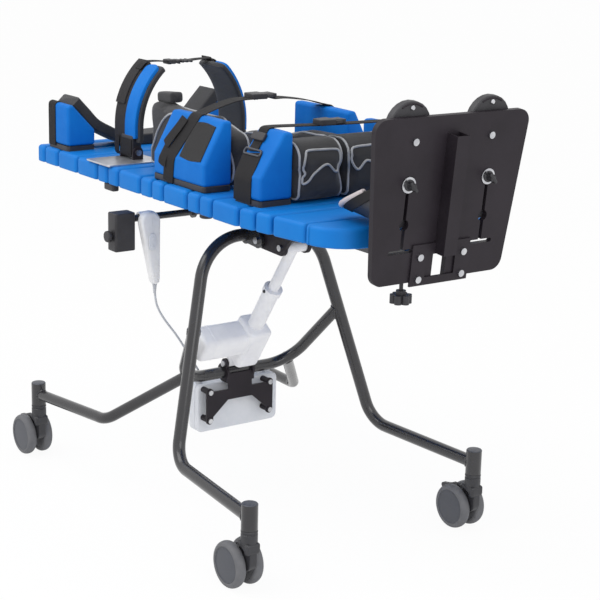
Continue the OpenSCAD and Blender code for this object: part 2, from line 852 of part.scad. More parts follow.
module tilt_bracket() {
    plate_half_y = rail_half_y + rail_w / 2 + bracket_over;
    color(black) difference() {
        union() {
            translate([bracket_x, -plate_half_y, bracket_z]) cube([bracket_l, 2 * plate_half_y, bracket_t]);
            for (y = [-cheek_out_y, cheek_in_y]) along_y(y, cheek_t) {
                for (p = [tilt, pin]) translate([p.x, p.z]) circle(r = lug_r);
                polygon([[tilt.x - lug_r, tilt.z], [tilt.x, tilt.z - lug_r], [pin.x, pin.z - lug_r],
                    [pin.x + lug_r, pin.z], [bracket_x + bracket_l - over, bracket_z + over],
                    [tilt.x - lug_r, bracket_z + over]]);
            }
        }
        cylinder_y([tilt.x, -cheek_out_y - over, tilt.z], shaft_d + 2 * fit, 2 * (cheek_out_y + over));
        cylinder_y([pin.x, -cheek_out_y - over, pin.z], bolt_d + 2 * fit, 2 * (cheek_out_y + over));
    }
}

// Bolts on the board: two stub bolts at the actuator's upper pin and the two chest hinge pins
module board_bolts() {
    pin_x = chest_x + chest_boot_in - chest_ear_t - gap;
    pin_l = chest_boot_l + 2 * (chest_ear_t + gap);
    color(steel) {
        for (s = [0, 1]) mirror([0, s, 0]) {
            cylinder_y([pin.x, cheek_in_y, pin.z], bolt_d, cheek_t);
            cylinder_y([pin.x, cheek_out_y, pin.z], bolt_head_d, bolt_head_h);
            cylinder_x([pin_x, -chest_half_y, chest_hinge_z], chest_pin_d, pin_l);
            cylinder_x([pin_x + pin_l, -chest_half_y, chest_hinge_z], bolt_head_d, bolt_head_h);
        }
    }
}

// Handset bar with its two hangers under the rails
module handset_bar() {
    color(black) {
        cylinder_y([bar_x, bar_right_y, bar_z], bar_d, bar_left_y - bar_right_y);
        for (s = [-1, 1]) along_y(s * rail_half_y - hanger_t / 2, hanger_t) {
            translate([bar_x, bar_z]) circle(r = hanger_r);
            translate([bar_x - hanger_r, bar_z]) square([2 * hanger_r, rail_z - bar_z]);
        }
    }
}

module accessory_clamp() {
    color(black) difference() {
        translate([bar_x - clamp_w / 2, clamp_right_y, bar_z - clamp_low])
            linear_extrude(clamp_low + clamp_high)
            round_rect([clamp_w, clamp_l], clamp_corner_r);
        cylinder_y([bar_x, bar_right_y, bar_z], bar_d + 2 * fit, clamp_l + over);
        cylinder_y([bar_x, clamp_right_y - over, bar_z - clamp_low / 2], knob_stud_d + 2 * fit, clamp_l / 2);
    }
}

module clamp_knob() {
    y = clamp_right_y - gap - knob_h;
    color(black) {
        cylinder_y([bar_x, y, bar_z - clamp_low / 2], knob_d, knob_h);
        cylinder_y([bar_x, y, bar_z - clamp_low / 2], knob_stud_d, knob_h + gap + knob_stud_l);
    }
}

module handset() {
    top = bar_z + handset_top;
    high = [handset_y, top - handset_top_r];
    low = [handset_y, top - handset_l + handset_low_r];
    color(white) difference() {
        union() {
            along_x(handset_x, handset_t) {
                translate(high) circle(r = handset_top_r);
                translate(low) circle(r = handset_low_r);
                polygon([high - [handset_top_r * strip_share, 0], low - [handset_low_r * strip_share, 0],
                    low + [handset_low_r * strip_share, 0], high + [handset_top_r * strip_share, 0]]);
            }
            along_y(handset_y - hook_w / 2, hook_w) {
                translate([bar_x, bar_z]) circle(r = bar_d / 2 + hook_t);
                translate([bar_x, bar_z - hook_t]) square([bar_d / 2 + 2 * hook_t, bar_d / 2 + 2 * hook_t]);
            }
        }
        cylinder_y([bar_x, handset_y - hook_w, bar_z], bar_d + 2 * gap, 2 * hook_w);
        translate([bar_x - bar_d, handset_y - hook_w, bar_z - 2 * bar_d])
            cube([bar_d + bar_d / 2 + gap, 2 * hook_w, 2 * bar_d]);
        cylinder_y([rocker_pin_x, handset_y - rocker_pin_l / 2 - gap, rocker_pin_z], rocker_pin_d + 2 * fit,
            rocker_pin_l + 2 * gap);
        along_x(handset_x + handset_t - rocker_t + rocker_proud - rocker_room, rocker_t + rocker_room)
            translate([handset_y - rocker_w / 2 - rocker_clear, top - rocker_drop - rocker_l - rocker_clear])
            round_rect([rocker_w + 2 * rocker_clear, rocker_l + 2 * rocker_clear], rocker_w / 2);
    }
}

module handset_rocker() {
    top = bar_z + handset_top;
    color(box_grey) {
        along_x(handset_x + handset_t - rocker_t + rocker_proud, rocker_t)
            translate([handset_y - rocker_w / 2, top - rocker_drop - rocker_l])
            round_rect([rocker_w, rocker_l], rocker_w / 2 - over);
        cylinder_y([rocker_pin_x, handset_y - rocker_pin_l / 2, rocker_pin_z], rocker_pin_d, rocker_pin_l);
    }
}

// Supports on the board

// Foam block: an outline in the Y-Z plane, drawn out along +X with all its edges rounded
module foam_block(points, x, l, r) {
    hull() for (p = points, e = [x + r, x + l - r]) translate([e, p.x, p.y]) sphere(r = r, $fn = soft_fn);
}

// Stuffed cushion between two corners: a box whose faces swell and whose edges draw in
function swell(t, share) = sign(t) * pow(abs(t), share);
module cushion(low, high) {
    mid = (low + high) / 2;
    half = (high - low) / 2;
    n = cushion_sides;
    rings = cushion_rings - 1;
    points = [for (i = [1:rings], k = [0:n - 1])
        let (v = -90 + 180 * i / cushion_rings, u = 360 * k / n, r = swell(cos(v), cushion_end_share))
        mid + [half.x * swell(sin(v), cushion_end_share), half.y * r * swell(cos(u), cushion_side_share),
            half.z * r * swell(sin(u), cushion_side_share)]];
    first = rings * n;
    ends = [mid - [half.x, 0, 0], mid + [half.x, 0, 0]];
    fans = [for (k = [0:n - 1]) let (a = k, b = (k + 1) % n, top = (rings - 1) * n)
        each [[first, a, b], [first + 1, top + b, top + a]]];
    polyhedron(concat(points, ends), concat(ring_skins(rings, n), fans));
}

// Outline of a side pad on the right, from its inner face out to its sloped outer face
function side_pad(inner, w) = [[-inner - pad_r, pad_z + pad_r], [-inner - w + pad_r, pad_z + pad_r],
    [-inner - w + pad_r, pad_z + pad_upright], [-inner - pad_top_w + pad_r, pad_z + pad_h - pad_r],
    [-inner - pad_r, pad_z + pad_h - pad_r]];

module base_block(x, l, inner, w) {
    translate([x, -inner - w, board_top_z]) linear_extrude(base_t) round_rect([l, w], pad_r);
}

module support_bases() {
    color(black) for (s = [0, 1]) mirror([0, s, 0]) {
        base_block(wedge_x, wedge_l, wedge_out_y - wedge_w, wedge_w);
        base_block(knee_pad_x, knee_pad_l, knee_pad_half_y, knee_pad_w);
    }
}

wedge_top_z = pad_z + wedge_h;
wedge_in_y = -wedge_out_y + wedge_w;
wedge_slope = [[-wedge_out_y + wedge_top_w, wedge_top_z - pad_r],
    [wedge_in_y - pad_r, pad_z + wedge_inner_h]];

module head_wedges() {
    points = [[wedge_in_y - pad_r, pad_z + pad_r], [-wedge_out_y + pad_r, pad_z + pad_r],
        [-wedge_out_y + pad_r, wedge_top_z - pad_r], wedge_slope[0], wedge_slope[1]];
    color(blue) for (s = [0, 1]) mirror([0, s, 0]) foam_block(points, wedge_x, wedge_l, pad_r);
}

module head_liner() {
    along = unit(wedge_slope[1] - wedge_slope[0]);
    lift = across(along) * (pad_r + gap + liner_t / 2);
    top = wedge_slope[0] + lift - along * liner_over;
    low = wedge_slope[1] + lift;
    flat_z = board_top_z + liner_rise + liner_t / 2;
    right = [top, low, [-liner_flat_y, flat_z]];
    left = [for (i = [2:-1:0]) [-right[i].x, right[i].y]];
    color(black) along_x(wedge_x + liner_in, liner_l) polygon(band(concat(right, left), liner_t));
}

// Chest supports
module chest_plates() {
    boot_x = chest_x + chest_boot_in;
    color(steel) for (s = [0, 1]) mirror([0, s, 0]) difference() {
        union() {
            translate([boot_x - chest_plate_back, -chest_half_y - chest_plate_out, board_top_z])
                linear_extrude(chest_plate_t) round_rect([chest_boot_l + chest_plate_back + chest_plate_ahead,
                chest_plate_in + chest_plate_out], chest_plate_r);
            for (x = [boot_x - gap - chest_ear_t, boot_x + chest_boot_l + gap]) along_x(x, chest_ear_t) {
                translate([-chest_half_y, chest_hinge_z]) circle(r = chest_ear_r);
                translate([-chest_half_y - chest_ear_r * strip_share, board_top_z + over])
                    square([2 * chest_ear_r * strip_share, chest_hinge_rise - over]);
            }
        }
        cylinder_x([boot_x - gap - chest_ear_t - over, -chest_half_y, chest_hinge_z], chest_pin_d + 2 * fit,
            chest_boot_l + 2 * (gap + chest_ear_t + over));
    }
}

module chest_arm_right() {
    boot_x = chest_x + chest_boot_in;
    bend_y = -chest_half_y - chest_t / 2 + chest_bend_r;
    bend_z = chest_hinge_z + chest_straight;
    low_z = chest_hinge_z + chest_boot_r + chest_ear_t;
    color(blue) difference() {
        union() {
            cylinder_x([boot_x, -chest_half_y, chest_hinge_z], 2 * chest_boot_r, chest_boot_l);
            translate([boot_x, -chest_half_y - chest_t / 2, chest_hinge_z])
                cube([chest_boot_l, chest_t, low_z - chest_hinge_z]);
            translate([chest_x, -chest_half_y - chest_t / 2, low_z]) linear_extrude(bend_z - low_z)
                round_rect([chest_w, chest_t], chest_edge_r);
            multmatrix(axes([chest_x + chest_w, bend_y, bend_z], [0, -1, 0], [0, 0, 1], [-1, 0, 0]))
                rotate_extrude(angle = chest_turn) translate([chest_bend_r - chest_t, 0])
                round_rect([chest_t, chest_w], chest_edge_r);
        }
        cylinder_x([boot_x - over, -chest_half_y, chest_hinge_z], chest_pin_d + 2 * fit,
            chest_boot_l + 2 * over);
    }
}

module chest_arm_left() left_side() chest_arm_right();

// Chest strap halves lie on the arms' tips: the buckle on the right half, the ladder lock on the left
chest_tip_y = chest_half_y + chest_t / 2 - chest_bend_r * (1 - cos(chest_turn));
chest_tip_z = chest_hinge_z + chest_straight + chest_bend_r * sin(chest_turn) + gap;
chest_strap_x = chest_x + (chest_w - webbing_w) / 2;

module chest_buckle() {
    color(black) {
        translate([chest_strap_x, -chest_tip_y - webbing_w, chest_tip_z])
            cube([webbing_w, chest_tip_y + webbing_w - buckle_l + over, webbing_t]);
        translate([chest_strap_x + (webbing_w - buckle_w) / 2, -buckle_l,
            chest_tip_z - (buckle_t - webbing_t) / 2])
            cube([buckle_w, buckle_l, buckle_t]);
    }
}

module chest_strap() {
    color(black) {
        translate([chest_strap_x, lock_l + gap - over, chest_tip_z])
            cube([webbing_w, chest_tip_y + webbing_w - lock_l - gap + over, webbing_t]);
        translate([chest_strap_x + (webbing_w - buckle_w) / 2, gap, chest_tip_z - (lock_t - webbing_t) / 2])
            cube([buckle_w, lock_l, lock_t]);
    }
}

// Pelvic pads slide sideways in a gap between slats, clamped by the knob under the board
stud_place = slat_starts[clamp_slat];
module pelvic_pad_right() {
    inner_w = pelvic_w / 2;
    low = board_bottom_z - slat_gap - clamp_knob_h;
    color(blue) foam_block(side_pad(pelvic_half_y, pelvic_w), pelvic_x, pelvic_l, pad_r);
    color(black) {
        base_block(pelvic_x, pelvic_l, pelvic_half_y, pelvic_w);
        translate([stud_place, -pelvic_half_y - inner_w, low + over]) cylinder(d = slat_gap - 2 * gap,
            h = board_top_z - low);
        translate([stud_place, -pelvic_half_y - inner_w, low]) cylinder(d = clamp_knob_d, h = clamp_knob_h);
    }
}

module pelvic_pad_left() left_side() pelvic_pad_right();

// Hip cushions stand against the pads' inner faces
module hip_cushion_right() {
    out_y = -pelvic_half_y + gap;
    low_z = board_top_z + gap;
    color(black) cushion([cushion_x, out_y, low_z],
        [cushion_x + cushion_l, out_y + cushion_t, low_z + cushion_h]);
}

module hip_cushion_left() left_side() hip_cushion_right();

// Pelvic straps rise from the pads' tops to the middle, the left one running under the buckle
strap_low_z = pad_z + pad_h + webbing_t / 2 + gap;
function strap_line(end, drop) = [[-pelvic_half_y - pad_top_w / 2, strap_low_z],
    [-strap_level, strap_low_z + strap_rise - drop], [end, strap_low_z + strap_rise - drop]];

module pelvic_strap_right() {
    color(black) {
        along_x(strap_x, pelvic_strap_w) polygon(band(strap_line(-pelvic_buckle_l / 2 + over, 0), webbing_t));
        translate([strap_x + (pelvic_strap_w - pelvic_buckle_w) / 2, -pelvic_buckle_l / 2,
            strap_low_z + strap_rise - webbing_t / 2]) cube([pelvic_buckle_w, pelvic_buckle_l, buckle_t]);
    }
}

module pelvic_strap_left() {
    color(black) left_side() along_x(strap_x, pelvic_strap_w)
        polygon(band(strap_line(strap_end, webbing_t + gap), webbing_t));
}

// Knee side pads, knee cushions and the knee strap
module knee_pad_right() {
    color(blue) foam_block(side_pad(knee_pad_half_y, knee_pad_w), knee_pad_x, knee_pad_l, pad_r);
}

module knee_pad_left() left_side() knee_pad_right();

module knee_cushions() {
    low_z = board_top_z + gap;
    out_y = -knee_pad_half_y + gap;
    color(black) for (s = [0, 1]) mirror([0, s, 0])
        cushion([knee_cup_x, out_y, low_z],
            [knee_cup_x + knee_cup_l, -knee_cup_half_gap, low_z + knee_cup_h]);
}

module knee_strap() {
    x = knee_pad_x + (knee_pad_l - webbing_w) / 2;
    end = knee_pad_half_y + pad_top_w - pad_r;
    z = pad_z + pad_h + gap;
    color(black) {
        translate([x, -end, z]) cube([webbing_w, 2 * end, webbing_t]);
        translate([x + (webbing_w - buckle_w) / 2, -knee_buckle_l / 2, z + webbing_t / 2])
            cube([buckle_w, knee_buckle_l, buckle_t]);
    }
}

// Foot end: pieces on the plate are drawn flat, X out of the plate and Z up along it, then leaned
module on_plate() translate([plate_x, 0, plate_z]) rotate([0, plate_lean, 0]) children();

module foot_slides() {
    color(frame_grey) difference() {
        for (s = [-1, 1])
            translate([slide_head_x, s * rail_half_y - slide_w / 2, rail_z + rail_wall + slide_clear])
                cube([plate_x + plate_t - slide_head_x, slide_w, slide_w]);
        on_plate() translate([-plate_t, -plate_top_half, -plate_h])
            cube([plate_h, 2 * plate_top_half, 2 * plate_h]);
        translate([star_x, -rail_half_y, rail_z - over]) cylinder(d = knob_stud_d + 2 * fit, h = slide_w / 2);
    }
}

module plate_outline() {
    r = plate_corner_r;
    low = [plate_low_half - r, r];
    high = [plate_top_half - r, plate_h - r];
    out = unit([high.y - low.y, low.x - high.x]) * r;
    half = [[low.x, 0], low + out, high + out, [high.x, plate_h]];
    polygon(concat(half, [for (i = [3:-1:0]) [-half[i].x, half[i].y]]));
    for (s = [-1, 1], p = [low, high]) translate([s * p.x, p.y]) circle(r = r);
}

module foot_plate() {
    color(black) on_plate() difference() {
        along_x(-plate_t, plate_t) difference() {
            plate_outline();
            translate([-notch_half, -over]) square([2 * notch_half, notch_h + over]);
            for (s = [-1, 1]) {
                translate([s * sandal_half_y, keyhole_up]) circle(d = keyhole_d);
                strip([s * sandal_half_y, slot_up], [s * sandal_half_y, knob_up], slot_w);
                strip([s * sandal_half_y - slot_side, slot_up],
                    [s * sandal_half_y + slot_side, slot_up], slot_w);
            }
        }
        for (s = [-1, 1], z = [foot_bolt_low, foot_bolt_low + foot_bolt_rise])
            cylinder_x([-plate_t - over, s * rail_half_y, z], bolt_d + 2 * fit, plate_t + 2 * over);
        for (s = [-1, 1])
            cylinder_x([-plate_t - over, s * top_bolt_half_y, top_bolt_up], bolt_d + 2 * fit,
                plate_t + 2 * over);
    }
}

module foot_channel() {
    color(frame_grey) on_plate() difference() {
        union() {
            translate([0, -channel_w / 2, channel_low]) cube([channel_d, channel_w, channel_h]);
            for (tie = [[flange_low, tie_h], [channel_low, flange_low + flange_h - channel_low]])
                translate([0, -rail_half_y, tie[0]]) cube([flange_t, 2 * rail_half_y, tie[1]]);
            for (s = [-1, 1]) translate([0, s * rail_half_y - flange_w / 2, flange_low])
                cube([flange_t, flange_w, flange_h]);
        }
        translate([-over, -channel_w / 2 + channel_wall, channel_low - over])
            cube([channel_d - channel_wall + over, channel_w - 2 * channel_wall, channel_h + 2 * over]);
        for (s = [-1, 1], z = [foot_bolt_low, foot_bolt_low + foot_bolt_rise])
            cylinder_x([-over, s * rail_half_y, z], bolt_d + 2 * fit, flange_t + 2 * over);
    }
}

module foot_bolts() {
    color(steel) on_plate() {
        for (s = [-1, 1], z = [foot_bolt_low, foot_bolt_low + foot_bolt_rise]) {
            cylinder_x([-plate_t, s * rail_half_y, z], bolt_d, plate_t + flange_t);
            cylinder_x([flange_t, s * rail_half_y, z], bolt_head_d, bolt_head_h);
        }
        for (s = [-1, 1]) {
            cylinder_x([-plate_t, s * top_bolt_half_y, top_bolt_up], bolt_d, plate_t);
            cylinder_x([0, s * top_bolt_half_y, top_bolt_up], bolt_head_d, bolt_head_h);
        }
    }
}

module star_knob() {
    top = rail_z + rail_wall + slide_clear;
    color(black) translate([star_x, -rail_half_y, top - star_drop - star_h]) {
        cylinder(d = knob_stud_d, h = star_h + star_drop + slide_w / 4);
        cylinder(d = star_d - star_lobe_d, h = star_h);
        cylinder(d = star_neck_d, h = star_h + star_neck_h);
        for (i = [0:star_lobes - 1]) rotate([0, 0, 360 * i / star_lobes])
            translate([(star_d - star_lobe_d) / 2, 0, 0]) cylinder(d = star_lobe_d, h = star_h);
    }
}

// Sandals: sole behind the plate, heel cup and instep strap standing out towards the user
module sandal_right() {
    toe_r = sole_w / 2;
    back = -plate_t - gap;
    toe = [-sandal_half_y, heel_up - heel_r + sole_l - toe_r];
    heel = [-sandal_half_y, heel_up];
    color(black) on_plate() {
        along_x(back - sole_t, sole_t) {
            translate(toe) circle(r = toe_r);
            translate(heel) circle(r = heel_r);
            polygon([toe - [toe_r, 0], toe + [toe_r, 0], heel + [heel_r, 0], heel - [heel_r, 0]]);
        }
        along_x(back - sole_t - cup_h, cup_h) difference() {
            translate(heel) circle(r = heel_r);
            translate(heel) circle(r = heel_r - cup_t);
            translate(heel - [heel_r + over, 0]) square(2 * (heel_r + over));
        }
        cylinder_x([back, -sandal_half_y, knob_up], slot_w - 2 * gap, plate_t + 2 * gap);
    }
}

module sandal_left() left_side() sandal_right();

module sandal_knobs() {
    color(black) on_plate() for (s = [-1, 1]) {
        cylinder_x([gap, s * sandal_half_y, knob_up], washer_d, washer_t);
        cylinder_x([gap + washer_t, s * sandal_half_y, knob_up], sandal_knob_d, sandal_knob_h);
    }
}

front_hoop();
cross_tube();
rear_leg_left();
rear_leg_right();
castor_sockets();
pivot_lugs();
tilt_shaft();
control_bracket();
control_fasteners();
control_box();
handset_cord();
cord_gland();
castor_fork_front_left();
castor_fork_front_right();
castor_fork_rear_left();
castor_fork_rear_right();
castor_wheels_front_left();
castor_wheels_front_right();
castor_wheels_rear_left();
castor_wheels_rear_right();
castor_brake_front_left();
castor_brake_rear_right();
actuator_motor();
actuator_tube();
actuator_rod();
board_slats();
board_rails();
tilt_bracket();
board_bolts();
handset_bar();
accessory_clamp();
clamp_knob();
handset();
handset_rocker();
support_bases();
head_wedges();
head_liner();
chest_plates();
chest_arm_left();
chest_arm_right();
chest_buckle();
chest_strap();
pelvic_pad_left();
pelvic_pad_right();
hip_cushion_left();
hip_cushion_right();
pelvic_strap_left();
pelvic_strap_right();
knee_pad_left();
knee_pad_right();
knee_cushions();
knee_strap();
foot_slides();
foot_plate();
foot_channel();
foot_bolts();
star_knob();
sandal_left();
sandal_right();
sandal_knobs();
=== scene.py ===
import bmesh
import bpy
import numpy as np
from mathutils import Matrix, Vector
from mathutils.bvhtree import BVHTree


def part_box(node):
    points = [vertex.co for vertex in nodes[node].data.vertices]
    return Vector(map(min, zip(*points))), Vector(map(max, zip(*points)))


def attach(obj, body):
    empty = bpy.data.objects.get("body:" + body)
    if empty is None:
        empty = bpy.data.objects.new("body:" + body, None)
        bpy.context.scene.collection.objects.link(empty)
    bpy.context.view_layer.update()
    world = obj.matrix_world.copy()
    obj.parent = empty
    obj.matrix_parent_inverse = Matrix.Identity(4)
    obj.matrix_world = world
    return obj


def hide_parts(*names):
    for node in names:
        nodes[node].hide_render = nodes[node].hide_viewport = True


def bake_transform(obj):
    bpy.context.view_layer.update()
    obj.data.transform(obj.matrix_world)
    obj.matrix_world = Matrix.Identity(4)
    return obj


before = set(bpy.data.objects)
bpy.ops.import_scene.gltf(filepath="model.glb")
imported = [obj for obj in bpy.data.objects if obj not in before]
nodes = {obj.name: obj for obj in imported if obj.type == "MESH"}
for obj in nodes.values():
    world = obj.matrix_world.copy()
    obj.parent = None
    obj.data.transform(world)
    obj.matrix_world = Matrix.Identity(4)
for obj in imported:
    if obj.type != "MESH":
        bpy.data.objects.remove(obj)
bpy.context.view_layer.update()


# Studio: a seamless white floor under a broad soft light, with a weaker one at the foot end.
# The camera is a long lens at the foot end, on the right and a little above the board.
view_turn, view_rise, view_roll = np.radians([54.14, 14.68, 1.44])
view_back = np.array([np.sin(view_turn) * np.cos(view_rise), -np.cos(view_turn) * np.cos(view_rise),
                      np.sin(view_rise)])
view_right = np.array([np.cos(view_turn), np.sin(view_turn), 0.0])
view_up = np.cross(view_back, view_right)
camera_axes = np.eye(4)
camera_axes[:3, 0] = np.cos(view_roll) * view_right + np.sin(view_roll) * view_up
camera_axes[:3, 1] = np.cos(view_roll) * view_up - np.sin(view_roll) * view_right
camera_axes[:3, 2] = view_back
camera_place, lens_mm, sensor_mm = (2.9165, -2.0110, 1.4152), 97.1, 36.0
camera_axes[:3, 3] = camera_place
camera = bpy.data.objects.new("camera", bpy.data.cameras.new("camera"))
camera.data.lens = lens_mm
camera.data.sensor_width = sensor_mm
camera.data.clip_end = 200.0
camera.matrix_world = Matrix(camera_axes.tolist())
bpy.context.collection.objects.link(camera)
bpy.context.scene.camera = camera
bpy.context.scene.view_settings.view_transform = "Standard"


def add(tree, kind, inputs=None, **settings):
    """A shader node of one kind, with its settings, and each input linked to a socket or set to a value."""
    made = tree.nodes.new("ShaderNode" + kind)
    for key, value in settings.items():
        setattr(made, key, value)
    for key, value in (inputs or {}).items():
        if isinstance(value, bpy.types.NodeSocket):
            tree.links.new(value, made.inputs[key])
        else:
            made.inputs[key].default_value = value
    return made


def seen_directly(tree):
    """A mask of the rays that come from the camera, a mirror-like surface or glass."""
    rays = add(tree, "LightPath").outputs
    glossy = add(tree, "Math", {0: rays["Is Camera Ray"], 1: rays["Is Glossy Ray"]}, operation="MAXIMUM")
    return add(tree, "Math", {0: glossy.outputs[0], 1: rays["Is Transmission Ray"]}, operation="MAXIMUM").outputs[0]


white, paper_grey = (1.0, 1.0, 1.0, 1.0), (0.86, 0.86, 0.86, 1.0)
sky_light, paper_glow_share, floor_half = 0.86, 0.94, 40.0
sky = bpy.data.worlds.new("studio")
sky.use_nodes = True
bpy.context.scene.world = sky
sky_tree = sky.node_tree
sky_level = add(sky_tree, "MapRange", {"Value": seen_directly(sky_tree), "To Min": sky_light, "To Max": 1.0})
sky_tree.links.new(sky_level.outputs[0], sky_tree.nodes["Background"].inputs["Strength"])
sky_tree.nodes["Background"].inputs["Color"].default_value = white

floor_mesh = bpy.data.meshes.new("floor")
floor_corners = [(-floor_half, -floor_half, 0), (floor_half, -floor_half, 0), (floor_half, floor_half, 0),
                 (-floor_half, floor_half, 0)]
floor_mesh.from_pydata(floor_corners, [], [(0, 1, 2, 3)])
floor = bpy.data.objects.new("floor", floor_mesh)
bpy.context.collection.objects.link(floor)
floor_paper = bpy.data.materials.new("floor_paper")
floor_paper.use_nodes = True
paper_tree = floor_paper.node_tree
paper_shade = add(paper_tree, "BsdfDiffuse", {"Color": paper_grey})
paper_glow = add(paper_tree, "Emission", {"Color": white, "Strength": 1.0})
paper_share = add(paper_tree, "Math", {0: seen_directly(paper_tree), 1: paper_glow_share}, operation="MULTIPLY")
paper_mix = add(paper_tree, "MixShader", {0: paper_share.outputs[0], 1: paper_shade.outputs[0],
                                          2: paper_glow.outputs[0]})
paper_tree.links.new(paper_mix.outputs[0], paper_tree.nodes["Material Output"].inputs["Surface"])
floor_mesh.materials.append(floor_paper)


def softbox(name, place, target, size, power):
    """A square area light at a place, turned to face a target."""
    lamp = bpy.data.objects.new(name, bpy.data.lights.new(name, "AREA"))
    lamp.data.size = size
    lamp.data.energy = power
    lamp.location = place
    lamp.rotation_euler = (Vector(place) - Vector(target)).to_track_quat("Z", "Y").to_euler()
    bpy.context.collection.objects.link(lamp)


part_middle = (0.0, 0.0, 0.6)
softbox("top_light", (-0.6, -1.6, 3.2), part_middle, size=2.6, power=46.0)
softbox("foot_light", (2.6, -0.4, 1.6), part_middle, size=1.6, power=15.0)


# Handset cord: a round grey PVC lead, moulded to the handset's foot and sealed in a gland on the control box.
# It hangs in one slack curve, and its jacket is smooth with a faint handling grain.
def effect(name, inputs):
    """An empty node group with named inputs and their defaults, putting out colour, roughness and height."""
    tree = bpy.data.node_groups.new(name, "ShaderNodeTree")
    for label, value in inputs.items():
        kind = "NodeSocketColor" if isinstance(value, tuple) else "NodeSocketFloat"
        tree.interface.new_socket(label, in_out="INPUT", socket_type=kind).default_value = value
    for label, kind in (("Colour", "Color"), ("Roughness", "Float"), ("Height", "Float")):
        tree.interface.new_socket(label, in_out="OUTPUT", socket_type="NodeSocket" + kind)
    return tree, tree.nodes.new("NodeGroupInput").outputs, tree.nodes.new("NodeGroupOutput").inputs


def put_out(tree, given, out, second, share, wear, height):
    """A group's outputs: its colour mixed with a second one by a share, its roughness raised by the wear, and its
    height."""
    tint = add(tree, "Mix", {0: share, 6: given["Colour"], 7: given[second]}, data_type="RGBA")
    rough = add(tree, "Math", {0: wear, 1: given["Spread"], 2: given["Rough"]}, operation="MULTIPLY_ADD")
    for label, socket in (("Colour", tint.outputs[2]), ("Roughness", rough.outputs[0]), ("Height", height)):
        tree.links.new(socket, out[label])
    return tree


def srgb(red, green, blue):
    """A colour as a screen shows it, 0 to 255, in the linear values that a shader takes."""
    shown = np.array([red, green, blue]) / 255.0
    linear = np.where(shown <= 0.04045, shown / 12.92, ((shown + 0.055) / 1.055) ** 2.4)
    return (*linear.tolist(), 1.0)


def moulded_grain():
    """Fine spark grain over slow patches: height is fine noise, and colour and roughness drift with wide noise."""
    tree, given, out = effect("moulded_grain", {"Colour": (0.5, 0.5, 0.5, 1.0), "Drift": (0.4, 0.4, 0.4, 1.0),
                                                "Grain": 900.0, "Patch": 14.0, "Rough": 0.5, "Spread": 0.1})
    place = add(tree, "TexCoord").outputs["Object"]
    fine = add(tree, "TexNoise", {"Vector": place, "Scale": given["Grain"], "Detail": 3.0})
    wide = add(tree, "TexNoise", {"Vector": place, "Scale": given["Patch"], "Detail": 6.0, "Roughness": 0.62})
    patch = add(tree, "MapRange", {"Value": wide.outputs["Fac"], "From Min": 0.36, "From Max": 0.66})
    return put_out(tree, given, out, "Drift", patch.outputs[0], patch.outputs[0], fine.outputs["Fac"])


grain = moulded_grain()


def finish(name, group, values, relief, **shader_values):
    """Material from an effect group: its colour and roughness feed the shader, its height a bump of that relief."""
    material = bpy.data.materials.new(name)
    material.use_nodes = True
    tree = material.node_tree
    shader = tree.nodes["Principled BSDF"]
    look = add(tree, "Group", node_tree=group)
    for key, value in values.items():
        look.inputs[key].default_value = value
    bump = add(tree, "Bump", {"Strength": 1.0, "Distance": relief, "Height": look.outputs["Height"]})
    tree.links.new(look.outputs["Colour"], shader.inputs["Base Color"])
    tree.links.new(look.outputs["Roughness"], shader.inputs["Roughness"])
    tree.links.new(bump.outputs["Normal"], shader.inputs["Normal"])
    for key, value in shader_values.items():
        shader.inputs[key.replace("_", " ")].default_value = value
    return material


crease = np.radians(38)
curve_steps = 48


def surface(name, grid, loop=False, uv=None):
    """Mesh of a grid of points: quads between neighbours, closed round each row. A flat cap closes both end rows, or
    the last row joins the first in a loop. uv gives each grid point's place on the cloth, with one more column."""
    rows, cols = grid.shape[:2]
    i, j = np.meshgrid(np.arange(rows if loop else rows - 1), np.arange(cols), indexing="ij")
    i, j = i.ravel(), j.ravel()
    k, after = (j + 1) % cols, (i + 1) % rows
    quads = np.stack([i * cols + j, i * cols + k, after * cols + k, after * cols + j], axis=1)
    faces = quads.tolist()
    if not loop:
        rim = np.arange(cols)
        faces += [rim[::-1].tolist(), ((rows - 1) * cols + rim).tolist()]
    mesh = bpy.data.meshes.new(name)
    mesh.from_pydata(grid.reshape(-1, 3).tolist(), [], faces)
    if uv is not None:
        laid = np.stack([uv[i, j], uv[i, j + 1], uv[i + 1, j + 1], uv[i + 1, j]], axis=1).reshape(-1, 2)
        spots = np.zeros((len(mesh.loops), 2))
        spots[:len(laid)] = laid
        mesh.uv_layers.new(name="cloth").data.foreach_set("uv", spots.ravel())
    shell = bmesh.new()
    shell.from_mesh(mesh)
    bmesh.ops.recalc_face_normals(shell, faces=shell.faces)
    shell.to_mesh(mesh)
    shell.free()
    mesh.shade_smooth()
    mesh.set_sharp_from_angle(angle=crease)
    piece = bpy.data.objects.new(name, mesh)
    bpy.context.collection.objects.link(piece)
    return piece


def unit(vectors):
    """Vectors of length one, along the last axis."""
    return vectors / np.linalg.norm(vectors, axis=-1, keepdims=True)


